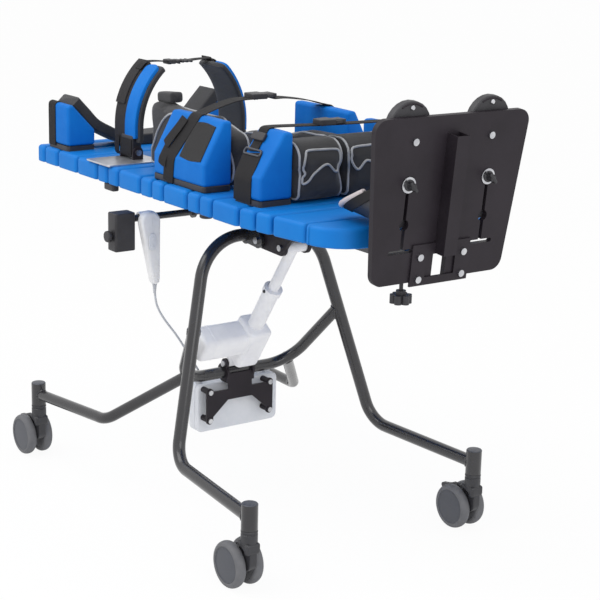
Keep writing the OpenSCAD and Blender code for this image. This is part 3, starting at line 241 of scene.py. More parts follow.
def smooth_path(points, count, closed=False):
    """Catmull-Rom curve through the points, at even steps along its own length."""
    p = np.asarray(points, float)
    ends = (p[-1:], p[:2]) if closed else (2 * p[:1] - p[1:2], 2 * p[-1:] - p[-2:-1])
    p = np.concatenate([ends[0], p, ends[1]])
    t = np.linspace(0, 1, curve_steps, endpoint=False)[None, :, None]
    a, b, c, d = p[:-3, None], p[1:-2, None], p[2:-1, None], p[3:, None]
    curve = 0.5 * (2 * b + (c - a) * t + (2 * a - 5 * b + 4 * c - d) * t**2 + (3 * b - a - 3 * c + d) * t**3)
    curve = np.concatenate([curve.reshape(-1, 3), p[-2:-1]])
    run = np.concatenate([[0], np.cumsum(np.linalg.norm(np.diff(curve, axis=0), axis=1))])
    steps = np.linspace(0, run[-1], count + 1)[:-1] if closed else np.linspace(0, run[-1], count)
    return np.stack([np.interp(steps, run, curve[:, k]) for k in range(3)], axis=1)


def carry(path, profile, across, closed=False, round_ends=(0.0, 0.0)):
    """Grid of a flat profile carried along a path: its first axis lies across, its second square to the path.
    Near a rounded end the profile shrinks as the square root of a circle does."""
    slope = np.roll(path, -1, 0) - np.roll(path, 1, 0) if closed else np.gradient(path, axis=0)
    along = unit(slope)
    across = np.broadcast_to(np.asarray(across, float), path.shape)
    side = unit(across - (across * along).sum(1, keepdims=True) * along)
    lift = np.cross(along, side)
    run = np.concatenate([[0], np.cumsum(np.linalg.norm(np.diff(path, axis=0), axis=1))])
    size = np.ones(len(path))
    for away, reach in ((run, round_ends[0]), (run[-1] - run, round_ends[1])):
        if reach:
            size = size * np.sqrt(np.clip(1 - (1 - np.clip(away / reach, 0.02, 1)) ** 2, 0, 1))
    profile = np.broadcast_to(np.asarray(profile, float), (len(path), *np.shape(profile)[-2:]))
    shaped = profile * size[:, None, None]
    return path[:, None] + shaped[..., :1] * side[:, None] + shaped[..., 1:] * lift[:, None]


def ring(radius, sides=14):
    """Points of a circle."""
    turn = np.linspace(0, 2 * np.pi, sides, endpoint=False)
    return radius * np.stack([np.cos(turn), np.sin(turn)], axis=1)


def dress(piece, body, slot, material, *stands_for):
    """A piece gets its finish, rides on its body, and stands for the CAD nodes it replaces."""
    piece.data.materials.append(material)
    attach(piece, body)
    if stands_for:
        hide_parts(*stands_for)


cord_route = np.array([
    (-199, -172, 502), (-199, -171.5, 485), (-198, -170.5, 468), (-195, -168.5, 452), (-189, -164, 436),
    (-181, -157, 420), (-173, -148, 404), (-166, -138, 388), (-160, -127.5, 370), (-155.5, -116.5, 350),
    (-151.5, -105, 329), (-148.5, -94, 310), (-147, -84.5, 293), (-147, -83, 278)]) / 1000.0
cord_d = 0.005
cord_path = smooth_path(cord_route, 72)
cord_grey = finish("cord_jacket", grain, {"Colour": srgb(196, 199, 205), "Drift": srgb(176, 179, 186),
                                          "Grain": 1500.0, "Patch": 60.0, "Rough": 0.42, "Spread": 0.12}, 0.00008)
cord = surface("cord_jacket", carry(cord_path, ring(cord_d / 2), (1.0, 0.15, 0.0)))
cord.data.materials.append(cord_grey)
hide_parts("handset_cord")
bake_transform(cord)


def turned(name, profile, centre, axis, sides=48):
    """Solid of revolution: a profile of radius and height, swung round an axis through a centre."""
    profile = np.asarray(profile, float)
    axis = unit(np.asarray(axis, float))
    first = unit(np.cross(axis, (0.0, 0.0, 1.0) if abs(axis[2]) < 0.9 else (1.0, 0.0, 0.0)))
    spokes = ring(1.0, sides) @ np.stack([first, np.cross(axis, first)])
    grid = profile[:, None, :1] * spokes[None] + profile[:, None, 1:] * axis
    return surface(name, np.asarray(centre, float) + grid)


along_board, across_board, straight_up = np.eye(3)
relief_rings = np.linspace(0, 1, 25)
relief_r = (0.0058 - 0.0026 * relief_rings) - 0.0007 * (np.sin(relief_rings * np.pi * 10) > 0)
handset_relief = turned("handset_strain_relief",
                        np.concatenate([[(0.0006, -0.002)], np.stack([relief_r, 0.022 * relief_rings], axis=1),
                                        [(0.0026, 0.0222)]]), cord_route[0], -straight_up, 24)
dress(handset_relief, "board", "cord_grey", cord_grey)
gland_profile = [(0.0005, 0.0), (0.0082, 0.0), (0.0082, 0.0045), (0.0068, 0.0052), (0.0068, 0.0118),
                 (0.0061, 0.0136), (0.0042, 0.0158), (0.0005, 0.016)]
gland = turned("cord_gland_nut", gland_profile, (*cord_route[-1][:2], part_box("control_box")[1].z), straight_up, 32)
dress(gland, "base", "cord_grey", cord_grey, "cord_gland")


# Base frame: bent steel tubes, welded to each other and to the castor sockets, with small rippled weld beads.
# The whole weldment is powder-coated in a satin near-black, and the pivot lugs are welded to the hoop's top bar.
frame_paint = finish("satin_powder_coat", grain, {"Colour": srgb(36, 35, 38), "Drift": srgb(44, 43, 46),
                                                  "Grain": 700.0, "Patch": 9.0, "Rough": 0.22, "Spread": 0.08},
                     0.00005, Coat_Weight=0.4, Coat_Roughness=0.12)


def finish_node(material, *names):
    """CAD nodes that stay on show get a finish."""
    for name in names:
        nodes[name].data.materials.clear()
        nodes[name].data.materials.append(material)


finish_node(frame_paint, "front_hoop", "cross_tube", "rear_leg_left", "rear_leg_right", "castor_sockets",
            "pivot_lugs")


bead_r, bead_steps = 0.0028, 72


def weld_bead(name, start, along, branch_r, on, main, main_r):
    """Bead where a round tube meets a round tube: for each line of the branch's wall, the first point at the
    main tube's radius from its axis, from a quadratic, with a small ripple round the joint."""
    start, along, on, main = (np.asarray(v, float) for v in (start, along, on, main))
    along, main = unit(along), unit(main)
    first = unit(np.cross(along, main))
    wall = start + ring(branch_r, bead_steps) @ np.stack([first, np.cross(along, first)])
    off = wall - on - ((wall - on) @ main)[:, None] * main
    go = along - (along @ main) * main
    b, c = off @ go, (off * off).sum(1) - main_r**2
    reach = (-b - np.sqrt(np.clip(b * b - (go @ go) * c, 0, None))) / (go @ go)
    path = wall + reach[:, None] * along
    ripple = 1 + 0.12 * np.sin(np.arange(bead_steps) * 2 * np.pi / 3)
    grid = carry(path, ring(bead_r, 8)[None] * ripple[:, None, None], main, closed=True)
    dress(surface(name, grid, loop=True), "base", "frame_paint", frame_paint)


hoop_r, cross_r, leg_r, socket_r = 0.014, 0.0135, 0.013, 0.0175
half_track, socket_z, cross_bend_r = 0.300, 0.162, 0.080
stem_x = {"front": 0.3945, "rear": -0.5425}
knee_front = np.array([0.0625, -0.270, 0.168])
hoop_corner = np.array([-0.020, -0.147, 0.638])
cross_corner = np.array([-0.114, -0.150, 0.290])
cross_end = hoop_corner + (knee_front - hoop_corner) * 0.41
cross_in = unit(cross_corner - cross_end)
half_turn = np.arccos(cross_in[1]) / 2
leg_top = cross_corner + unit(across_board - cross_in) * cross_bend_r * (1 / np.cos(half_turn) - 1)
knee_rear = np.array([-0.256, -0.270, 0.173])
mirrored = (("right", 1.0), ("left", -1.0))  # a pair is drawn for the right side, at -Y, and mirrored to the left
for side, s in mirrored:
    flip = np.array([1.0, s, 1.0])
    weld_bead(f"weld_cross_{side}", cross_corner * flip, (cross_end - cross_corner) * flip, cross_r,
              cross_end * flip, (knee_front - hoop_corner) * flip, hoop_r)
    weld_bead(f"weld_rear_{side}", knee_rear * flip, (leg_top - knee_rear) * flip, leg_r,
              leg_top * flip, (cross_in + across_board) * flip, cross_r)
    for end, knee, tube_r in (("front", knee_front, hoop_r), ("rear", knee_rear, leg_r)):
        socket = np.array([stem_x[end], -half_track, socket_z])
        weld_bead(f"weld_socket_{end}_{side}", knee * flip, (socket - knee) * flip, tube_r, socket * flip,
                  straight_up, socket_r)


# Bolts, pins and shafts: zinc-plated steel with domed heads and a socket, and fine turning marks.
# They are the CAD solids as they are, turned and plated before the frame is put together.
def brushed_metal():
    """Turning and handling marks: height is noise drawn out along Z, and colour and roughness drift with it."""
    tree, given, out = effect("brushed_metal", {"Colour": (0.6, 0.6, 0.6, 1.0), "Drift": (0.5, 0.5, 0.5, 1.0),
                                                "Marks": 260.0, "Rough": 0.25, "Spread": 0.12})
    place = add(tree, "TexCoord").outputs["Object"]
    drawn = add(tree, "Mapping", {"Vector": place, "Scale": (1.0, 1.0, 7.0)})
    marks = add(tree, "TexNoise", {"Vector": drawn.outputs[0], "Scale": given["Marks"], "Detail": 4.0})
    wide = add(tree, "TexNoise", {"Vector": place, "Scale": 45.0, "Detail": 5.0})
    patch = add(tree, "MapRange", {"Value": wide.outputs["Fac"], "From Min": 0.35, "From Max": 0.65})
    return put_out(tree, given, out, "Drift", patch.outputs[0], marks.outputs["Fac"], marks.outputs["Fac"])


brushed = brushed_metal()
zinc = finish("zinc_plate", brushed, {"Colour": srgb(214, 215, 218), "Drift": srgb(190, 191, 196), "Marks": 420.0,
                                      "Rough": 0.2, "Spread": 0.16}, 0.00004, Metallic=1.0)
finish_node(zinc, "tilt_shaft", "control_fasteners", "board_bolts", "foot_bolts")


# Castors: twin-wheel castors with grey rubber tyres on dark moulded discs, and a hooded body between the wheels.
# A steel stem turns in the leg's socket, which a flat plastic plug closes on top.
tyre_rubber = finish("tyre_rubber", grain, {"Colour": srgb(96, 97, 101), "Drift": srgb(108, 108, 111),
                                            "Grain": 1100.0, "Patch": 40.0, "Rough": 0.6, "Spread": 0.15}, 0.00012)
hub_plastic = finish("hub_plastic", grain, {"Colour": srgb(62, 65, 73), "Drift": srgb(72, 74, 82),
                                            "Grain": 1300.0, "Patch": 34.0, "Rough": 0.36, "Spread": 0.12}, 0.00006)
castor_plastic = finish("castor_plastic", grain, {"Colour": srgb(44, 44, 48), "Drift": srgb(54, 54, 58),
                                                  "Grain": 1300.0, "Patch": 30.0, "Rough": 0.38, "Spread": 0.12},
                        0.00008)


corner_steps = 7


def rounded_outline(corners, radii, inset=0.0):
    """Outline of a convex shape, drawn anticlockwise: each edge moves in by the inset, and each corner turns on an
    arc that touches both its edges, smaller by the inset."""
    p = np.asarray(corners, float)
    radii = np.broadcast_to(np.asarray(radii, float), len(p))
    edge = unit(np.roll(p, -1, 0) - p)
    inward = np.stack([-edge[:, 1], edge[:, 0]], axis=1)
    before, n_before = np.roll(edge, 1, 0), np.roll(inward, 1, 0)
    depth = np.maximum(radii, inset + 0.0004)
    reach = depth[:, None] * (n_before + inward) / (1 + (n_before * inward).sum(1, keepdims=True))
    centre = p + reach
    start = np.arctan2(-n_before[:, 1], -n_before[:, 0])
    turn = np.arctan2(before[:, 0] * edge[:, 1] - before[:, 1] * edge[:, 0], (before * edge).sum(1))
    angle = start[:, None] + turn[:, None] * np.linspace(0, 1, corner_steps)
    arc = np.stack([np.cos(angle), np.sin(angle)], axis=2) * (depth - inset)[:, None, None]
    return (centre[:, None] + arc).reshape(-1, 2)


def moulded(name, corners, radii, low, high, edge, to, crown=0.0, bulge=0.0, edge_low=None, bore=None):
    """Block with a rounded outline and rounded rims: the outline stays whole along the side, which may bulge, and
    draws in along a quarter circle at both rims. Both faces may rise to a crown, and a bore of a radius and a depth
    may go in from the top. to places outline and height."""
    edge_low = edge if edge_low is None else edge_low
    quarter = np.linspace(0, np.pi / 2, 6)
    wall = np.linspace(0, 1, 7)[1:-1]
    heights = np.concatenate([low + edge_low * (1 - np.cos(quarter)),
                              low + edge_low + (high - low - edge - edge_low) * wall,
                              high - edge * (1 - np.sin(quarter))])
    insets = np.concatenate([edge_low * (1 - np.sin(quarter)), -bulge * np.sin(np.pi * wall),
                             edge * (1 - np.cos(quarter))])
    around = len(corners) * corner_steps
    rows = [np.column_stack([rounded_outline(corners, radii, inset), np.full(around, height)])
            for inset, height in zip(insets, heights)]
    if crown:
        for rim, way in ((rows[0], -1), (rows[-1], 1)):
            middle = rim.mean(0)
            shares = np.array([0.12, 0.3, 0.55, 0.82])
            raised = middle + (rim - middle) * (1 - shares[:, None, None])
            raised[..., 2] += way * crown * (1 - (1 - shares) ** 2)[:, None]
            rows = list(raised[::-1]) + rows if way < 0 else rows + list(raised)
    if bore:
        middle = rows[-1].mean(0)
        start = np.arctan2(*(rows[-1][0] - middle)[1::-1])
        turn = start + np.linspace(0, 2 * np.pi, around, endpoint=False)
        wall = middle + bore[0] * np.column_stack([np.cos(turn), np.sin(turn), 0 * turn])
        rows += [wall, wall - (0.0, 0.0, bore[1])]
    grid = np.array(rows)
    origin, first, second, third = (np.asarray(v, float) for v in to)
    return surface(name, origin + grid[..., :1] * first + grid[..., 1:2] * second + grid[..., 2:] * third)


def box_corners(x0, x1, y0, y1):
    """Corners of a rectangle, anticlockwise."""
    return [(x0, y0), (x1, y0), (x1, y1), (x0, y1)]


def joined(name, *parts):
    """Meshes of one piece put together as one object."""
    shell = bmesh.new()
    for part in parts:
        shell.from_mesh(part.data)
    mesh = bpy.data.meshes.new(name)
    shell.to_mesh(mesh)
    shell.free()
    for part in parts:
        old = part.data
        bpy.data.objects.remove(part)
        bpy.data.meshes.remove(old)
    piece = bpy.data.objects.new(name, mesh)
    bpy.context.collection.objects.link(piece)
    return piece


upright = (along_board, straight_up, -across_board)
tyre_turn = np.linspace(-np.pi / 2, np.pi / 2, 19)
tyre_profile = np.concatenate([[(0.0380, -0.0100)], np.stack([0.0400 + 0.0100 * np.cos(tyre_turn) ** 0.75,
                                                               0.0118 * np.sin(tyre_turn)], axis=1),
                               [(0.0380, 0.0100)]])
hub_profile = [(0.0005, -0.0075), (0.0085, -0.0075), (0.0095, -0.0090), (0.0350, -0.0098), (0.0378, -0.0108),
               (0.0386, -0.0102), (0.0386, 0.0100), (0.0380, 0.0106), (0.0366, 0.0108), (0.0358, 0.0102),
               (0.0240, 0.0107), (0.0120, 0.0110), (0.0005, 0.0111)]
trail, axle_z, wheel_mid_y = 0.038, 0.050, 0.0215
body_outline = [(0.0180, 0.100), (-0.0180, 0.100), (-0.055, 0.058), (-0.050, 0.033), (-0.030, 0.033), (0.0180, 0.052)]
hood_outline = [(0.0190, 0.072), (0.0190, 0.109), (-0.0190, 0.109), (-0.0265, 0.1025), (0.0005, 0.0910)]
swivel_profile = [(0.0005, 0.100), (0.0162, 0.100), (0.0178, 0.1030), (0.0178, 0.1262), (0.0165, 0.1275),
                  (0.0165, 0.1292), (0.0178, 0.1305), (0.0178, 0.1338), (0.0168, 0.1352), (0.0005, 0.1354)]
plug_profile = [(0.0005, 0.1895), (0.0172, 0.1895), (0.0172, 0.1908), (0.0160, 0.1922), (0.0120, 0.1927),
                (0.0005, 0.1928)]
for end in ("front", "rear"):
    for side, s in (("left", 1.0), ("right", -1.0)):
        tag = f"{end}_{side}"
        stem = np.array([stem_x[end], s * half_track, 0.0])
        axle = stem + (-trail, 0.0, axle_z)
        tyres, hubs = [], []
        for way in (across_board, -across_board):
            middle = axle + way * wheel_mid_y
            tyres.append(turned("tyre", tyre_profile, middle, way, 72))
            hubs.append(turned("hub", hub_profile, middle, way, 56))
        dress(joined(f"tyres_{tag}", *tyres), f"wheels_{tag}", "castor_grey", tyre_rubber, f"castor_wheels_{tag}")
        dress(joined(f"hubs_{tag}", *hubs), f"wheels_{tag}", "castor_plastic", hub_plastic)
        body = moulded("body", body_outline, [0.006, 0.012, 0.014, 0.012, 0.016, 0.020], -0.009, 0.009, 0.0025,
                       (stem, *upright))
        hood = moulded("hood", hood_outline, [0.008, 0.006, 0.006, 0.0015, 0.012], -0.0165, 0.0165, 0.005,
                       (stem, *upright))
        swivel = turned("swivel", swivel_profile, stem, straight_up)
        dress(joined(f"castor_body_{tag}", body, hood, swivel), f"castor_{tag}", "castor_plastic", castor_plastic,
              f"castor_fork_{tag}")
        dress(turned(f"socket_plug_{tag}", plug_profile, stem, straight_up), "base", "castor_plastic", hub_plastic)
finish_node(castor_plastic, "castor_brake_front_left", "castor_brake_rear_right")


# Actuator: a linear drive in off-white glass-filled nylon, with its motor in a cross housing at the foot.
# The outer tube ends in a collar held by two small screws, and the rod's eye is pinned between the board's cheeks.
nylon = {"Colour": srgb(244, 244, 246), "Drift": srgb(235, 235, 239), "Grain": 1200.0, "Patch": 22.0}
actuator_white = finish("actuator_nylon", grain, {**nylon, "Rough": 0.4, "Spread": 0.14}, 0.0001)
rod_white = finish("rod_nylon", grain, {**nylon, "Rough": 0.24, "Spread": 0.1}, 0.00003)
finish_node(actuator_white, "actuator_tube")
finish_node(rod_white, "actuator_rod")
clevis, eye_pin = np.array([-0.108, 0.0, 0.313]), np.array([0.106, 0.0, 0.631])
stroke = unit(eye_pin - clevis)
stroke_x = np.cross(across_board, stroke)
on_stroke = (clevis, stroke_x, across_board, stroke)
across_stroke = (clevis, stroke, stroke_x, across_board)
facing_front = (clevis, across_board, stroke, stroke_x)
rod_bore_r, rod_bore_depth, collar_reach = 0.0137, 0.080, 0.243
gear = moulded("gear", box_corners(-0.035, 0.035, -0.031, 0.031), 0.013, 0.016, 0.130, 0.008, on_stroke,
               bore=(rod_bore_r, rod_bore_depth))
motor = moulded("motor", box_corners(0.057, 0.121, -0.032, 0.032), 0.015, -0.146, -0.020, 0.009, across_stroke)
motor_cap = moulded("motor_cap", box_corners(0.0562, 0.1218, -0.0328, 0.0328), 0.016, -0.118, -0.111, 0.0012,
                    across_stroke)
gear_seam = moulded("gear_seam", box_corners(-0.0356, 0.0356, -0.0316, 0.0316), 0.0135, 0.046, 0.049, 0.0008,
                    on_stroke)
rating_field = moulded("rating_field", box_corners(-0.022, 0.022, 0.062, 0.104), 0.003, 0.0345, 0.0355, 0.0004,
                       facing_front)
tail = moulded("tail", box_corners(-0.0090, 0.0200, -0.0090, 0.0090), [0.0088, 0.002, 0.002, 0.0088], -0.0315,
               0.0315, 0.002, across_stroke)
dress(joined("actuator_housing", gear, motor, motor_cap, gear_seam, rating_field, tail), "actuator", "actuator_white",
      actuator_white, "actuator_motor")
black_nylon = finish("black_nylon", grain, {"Colour": srgb(38, 37, 41), "Drift": srgb(50, 49, 53), "Grain": 1000.0,
                                            "Patch": 26.0, "Rough": 0.42, "Spread": 0.14}, 0.00012)
screw_profile = [(0.0005, 0.0195), (0.0038, 0.0195), (0.0038, 0.0238), (0.0028, 0.0248), (0.0005, 0.0249)]
collar_screws = [turned("screw", screw_profile, clevis + collar_reach * stroke, way, 20)
                 for way in (across_board, -across_board)]
dress(joined("collar_screws", *collar_screws), "actuator", "plastic_black", black_nylon)


# Control box: a light grey moulded housing on four standoffs behind a black steel panel.
# A lid seam runs round it, and the plugs of the lead and the drive stand in its top at the left end.
box_plastic = finish("control_box_plastic", grain, {"Colour": srgb(226, 228, 233), "Drift": srgb(215, 218, 224),
                                                    "Grain": 1100.0, "Patch": 16.0, "Rough": 0.46, "Spread": 0.12},
                     0.00012)
plate_paint = finish("black_plate_coat", grain, {"Colour": srgb(34, 29, 35), "Drift": srgb(42, 37, 43),
                                                 "Grain": 800.0, "Patch": 11.0, "Rough": 0.42, "Spread": 0.1},
                     0.00008, Specular_IOR_Level=0.25)
finish_node(plate_paint, "control_bracket")
low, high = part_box("control_box")
facing_x = (np.zeros(3), across_board, straight_up, along_board)
flat_up = (np.zeros(3), along_board, across_board, straight_up)
box_outline = box_corners(low.y, high.y, low.z, high.z)
lid_share, lid_gap, seam_in = 0.64, 0.0016, 0.0015
seam_x = low.x + lid_share * (high.x - low.x)
shell_back = moulded("shell_back", box_outline, 0.014, low.x, seam_x - lid_gap / 2, 0.001, facing_x, edge_low=0.007)
shell_lid = moulded("shell_lid", box_outline, 0.014, seam_x + lid_gap / 2, high.x, 0.005, facing_x, edge_low=0.001)
seam = moulded("seam", box_corners(low.y + seam_in, high.y - seam_in, low.z + seam_in, high.z - seam_in), 0.013,
               seam_x - 0.003, seam_x + 0.003, 0.0004, facing_x)
dress(joined("control_housing", shell_back, shell_lid, seam), "base", "control_grey", box_plastic, "control_box")
plug_x = (low.x + high.x) / 2
plugs = []
for y in (high.y - 0.020, high.y - 0.042):
    plugs.append(moulded("plug", box_corners(plug_x - 0.008, plug_x + 0.008, y - 0.008, y + 0.008), 0.003,
                         high.z - 0.002, high.z + 0.014, 0.002, flat_up))
    plugs.append(turned("plug_neck", [(0.0005, 0.012), (0.0052, 0.012), (0.0050, 0.019), (0.0036, 0.0205),
                                      (0.0005, 0.0206)], (plug_x, y, high.z), straight_up, 24))
dress(joined("control_plugs", *plugs), "base", "control_grey", box_plastic)


# Board: twelve moulded foam slats with a tough blue skin, bolted across two steel rails.
# Some slats are cut in two, so that supports can be clamped in the slot between the halves.
board_skin = finish("board_skin", grain, {"Colour": srgb(2, 120, 204), "Drift": srgb(1, 112, 197), "Grain": 520.0,
                                          "Patch": 7.0, "Rough": 0.5, "Spread": 0.1}, 0.00018, Specular_IOR_Level=0.25)
board_low, board_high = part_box("board_slats")
head_slat, slat_pitch, slat_gap, cut_gap, slat_edge, slat_count = 0.104, 0.098, 0.006, 0.004, 0.009, 12
slat_starts = board_low.x + np.concatenate([[0.0], head_slat + slat_pitch * np.arange(slat_count - 1)])
slat_ends = np.append(slat_starts[1:] - slat_gap / 2, board_high.x)
slat_starts[1:] += slat_gap / 2


def half_width(x):
    """The board's half width: even from the head, then narrowing to the foot end."""
    return np.interp(x, [0.240, 0.431], [0.240, 0.210])


slat_cuts = {0: 0.36, 3: 0.5, 5: 0.5, 7: 0.5, 9: 0.5}
slats = []
for k, (x0, x1) in enumerate(zip(slat_starts, slat_ends)):
    cut = x0 + (x1 - x0) * slat_cuts.get(k, 0.5)
    for a, b in ([(x0, cut - cut_gap / 2), (cut + cut_gap / 2, x1)] if k in slat_cuts else [(x0, x1)]):
        corner = [slat_edge, 0.085, 0.085, slat_edge] if k == slat_count - 1 else slat_edge
        outline = [(a, -half_width(a)), (b, -half_width(b)), (b, half_width(b)), (a, half_width(a))]
        slats.append(moulded("slat", outline, corner, board_low.z, board_high.z, slat_edge, flat_up, crown=0.0012,
                             edge_low=0.004))
dress(joined("board_slats_moulded", *slats), "board", "board_blue", board_skin, "board_slats")
finish_node(frame_paint, "board_rails", "handset_bar")
finish_node(plate_paint, "tilt_bracket")
clamp_bars = [moulded("clamp_bar", box_corners(-0.324, -0.280, y - 0.009, y + 0.009), 0.006, 0.7075, 0.7235, 0.003,
                      flat_up) for y in (-0.226, 0.226)]
dress(joined("chest_clamp_bars", *clamp_bars), "board", "plastic_black", black_nylon)


# Handset: an off-white pendant with a two-way rocker, hooked over its bar beside a clamp block for accessories.
# The block and its knob are black moulded nylon on the end of the bar.
handset_shell = finish("handset_shell", grain, {"Colour": srgb(238, 238, 239), "Drift": srgb(228, 228, 230),
                                                "Grain": 1100.0, "Patch": 24.0, "Rough": 0.4, "Spread": 0.14}, 0.0001)
pendant = moulded("pendant", [(-0.1814, 0.502), (-0.1626, 0.502), (-0.1615, 0.674), (-0.2185, 0.674)],
                  [0.0104, 0.0104, 0.0255, 0.0255], -0.211, -0.187, 0.007, facing_x)
pendant_seam = moulded("pendant_seam", [(-0.1819, 0.5015), (-0.1621, 0.5015), (-0.1610, 0.6745), (-0.2190, 0.6745)],
                       [0.0108, 0.0108, 0.0259, 0.0259], -0.2000, -0.1985, 0.0004, facing_x)


def soft_bar(width, thickness, power=0.32, sides=40):
    """Profile of a padded band: a superellipse with full sides and rounded edges."""
    turn = np.linspace(0, 2 * np.pi, sides, endpoint=False)
    c, s = np.cos(turn), np.sin(turn)
    return np.stack([np.sign(c) * np.abs(c) ** power * width / 2, np.sign(s) * np.abs(s) ** power * thickness / 2],
                    axis=1)


bar_x, bar_z, hook_r, hook_steps = -0.224, 0.654, 0.0115, 32
hook_turn = np.radians(np.linspace(-8, 200, hook_steps))
hook_path = np.column_stack([bar_x + hook_r * np.cos(hook_turn), np.full(hook_steps, -0.190),
                             bar_z + hook_r * np.sin(hook_turn)])
hook = surface("hook", carry(hook_path, soft_bar(0.022, 0.005, 0.4, 24), across_board, round_ends=(0.0, 0.004)))
dress(joined("handset_pendant", pendant, pendant_seam, hook), "board", "actuator_white", handset_shell, "handset")
rocker_face = -0.1832
rocker_cap = moulded("rocker_cap", box_corners(-0.1955, -0.1765, 0.584, 0.624), 0.0094, -0.1852, rocker_face, 0.0012,
                     facing_x)
mark_profile = [(0.0005, -0.0004), (0.0042, -0.0004), (0.0042, 0.0004), (0.0034, 0.0008), (0.0005, 0.0008)]
marks = [turned("mark", mark_profile, (rocker_face, -0.186, z), along_board, 28) for z in (0.594, 0.614)]
dress(joined("handset_rocker_cap", rocker_cap, *marks), "rocker", "control_grey", box_plastic, "handset_rocker")
clamp_low, clamp_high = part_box("accessory_clamp")
clamp = moulded("accessory_clamp_block", box_corners(clamp_low.x, clamp_high.x, clamp_low.y, clamp_high.y), 0.005,
                clamp_low.z, clamp_high.z, 0.003, flat_up)
dress(clamp, "board", "plastic_black", black_nylon, "accessory_clamp")
clamp_grip = turned("clamp_knob_grip", [(0.0005, 0.0004), (0.0075, 0.0004), (0.0078, 0.0024), (0.0118, 0.0036),
                                        (0.0130, 0.0052), (0.0130, 0.0118), (0.0118, 0.0138), (0.0005, 0.0143)],
                    (bar_x, -0.270, 0.619), -across_board, 40)
dress(clamp_grip, "clamp_knob", "plastic_black", black_nylon, "clamp_knob")


# Head support: two blue foam wedges on black bases, each held by a strap over its outer face.
# A thick black padded band lies over both slopes and sags between them.
foam_skin = finish("foam_skin", grain, {"Colour": srgb(1, 112, 200), "Drift": srgb(0, 103, 191), "Grain": 430.0,
                                        "Patch": 10.0, "Rough": 0.56, "Spread": 0.12}, 0.0002, Specular_IOR_Level=0.2)
finish_node(black_nylon, "support_bases")


def grown(corners, radius):
    """A convex outline moved out by a radius on every side."""
    p = np.asarray(corners, float)
    edge = unit(np.roll(p, -1, 0) - p)
    out = np.stack([edge[:, 1], -edge[:, 0]], axis=1)
    before = np.roll(out, 1, 0)
    return p + radius * (before + out) / (1 + (before * out).sum(1, keepdims=True))


def side_on(s):
    """Frame for a side outline in Y and Z that is swept along X, mirrored to the left side where s is -1."""
    return np.zeros(3), s * across_board, straight_up, along_board


foam_r = 0.008


def foam_piece(name, corners, x0, x1, s):
    """Foam block: a side outline, kept a radius inside, swept along the board with rounded rims and soft ends."""
    return moulded(name, grown(corners, foam_r), foam_r, x0, x1, foam_r - 0.001, side_on(s), crown=0.0008,
                   bulge=0.0006)


wedge_points = [(-0.220, 0.785), (-0.162, 0.785), (-0.162, 0.810), (-0.216, 0.867), (-0.220, 0.867)]
wedges = [foam_piece("wedge", wedge_points, -0.610, -0.510, s) for s in (1.0, -1.0)]
dress(joined("head_wedges_foam", *wedges), "board", "foam_blue", foam_skin, "head_wedges")


def knit_cover():
    """Spacer knit: height is a fine field of cells, and colour follows the cells and slow patches of nap."""
    tree, given, out = effect("knit_cover", {"Colour": (0.02, 0.02, 0.02, 1.0), "Nap": (0.04, 0.04, 0.04, 1.0),
                                             "Cells": 620.0, "Patch": 26.0, "Rough": 0.8, "Spread": 0.1})
    place = add(tree, "TexCoord").outputs["Object"]
    cells = add(tree, "TexVoronoi", {"Vector": place, "Scale": given["Cells"], "Randomness": 0.35})
    wide = add(tree, "TexNoise", {"Vector": place, "Scale": given["Patch"], "Detail": 5.0})
    patch = add(tree, "MapRange", {"Value": wide.outputs["Fac"], "From Min": 0.35, "From Max": 0.65})
    both = add(tree, "Math", {0: cells.outputs["Distance"], 1: patch.outputs[0]}, operation="MULTIPLY")
    raised = add(tree, "Math", {0: 1.0, 1: cells.outputs["Distance"]}, operation="SUBTRACT")
    return put_out(tree, given, out, "Nap", both.outputs[0], patch.outputs[0], raised.outputs[0])


knit = knit_cover()
cushion_cloth = finish("cushion_cloth", knit, {"Colour": srgb(30, 30, 33), "Nap": srgb(58, 58, 62), "Cells": 640.0,
                                               "Patch": 30.0, "Rough": 0.78, "Spread": 0.12}, 0.0004,
                       Sheen_Weight=0.18, Sheen_Roughness=0.5)
liner_low, liner_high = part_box("head_liner")
liner_side = [(-0.2040, 0.8853), (-0.1750, 0.8547), (-0.1465, 0.8252), (-0.1080, 0.8035), (-0.0640, 0.7830),
              (-0.0320, 0.7800), (0.0, 0.7795)]
liner_y, liner_z = np.array(liner_side + [(-y, z) for y, z in liner_side[-2::-1]]).T
liner_x = np.full(len(liner_y), (liner_low.x + liner_high.x) / 2)
liner_path = smooth_path(np.column_stack([liner_x, liner_y, liner_z]), 120)
liner = surface("head_liner_padded", carry(liner_path, soft_bar(0.080, 0.027, 0.24), along_board,
                                           round_ends=(0.004, 0.004)))
dress(liner, "board", "cushion_black", cushion_cloth, "head_liner")


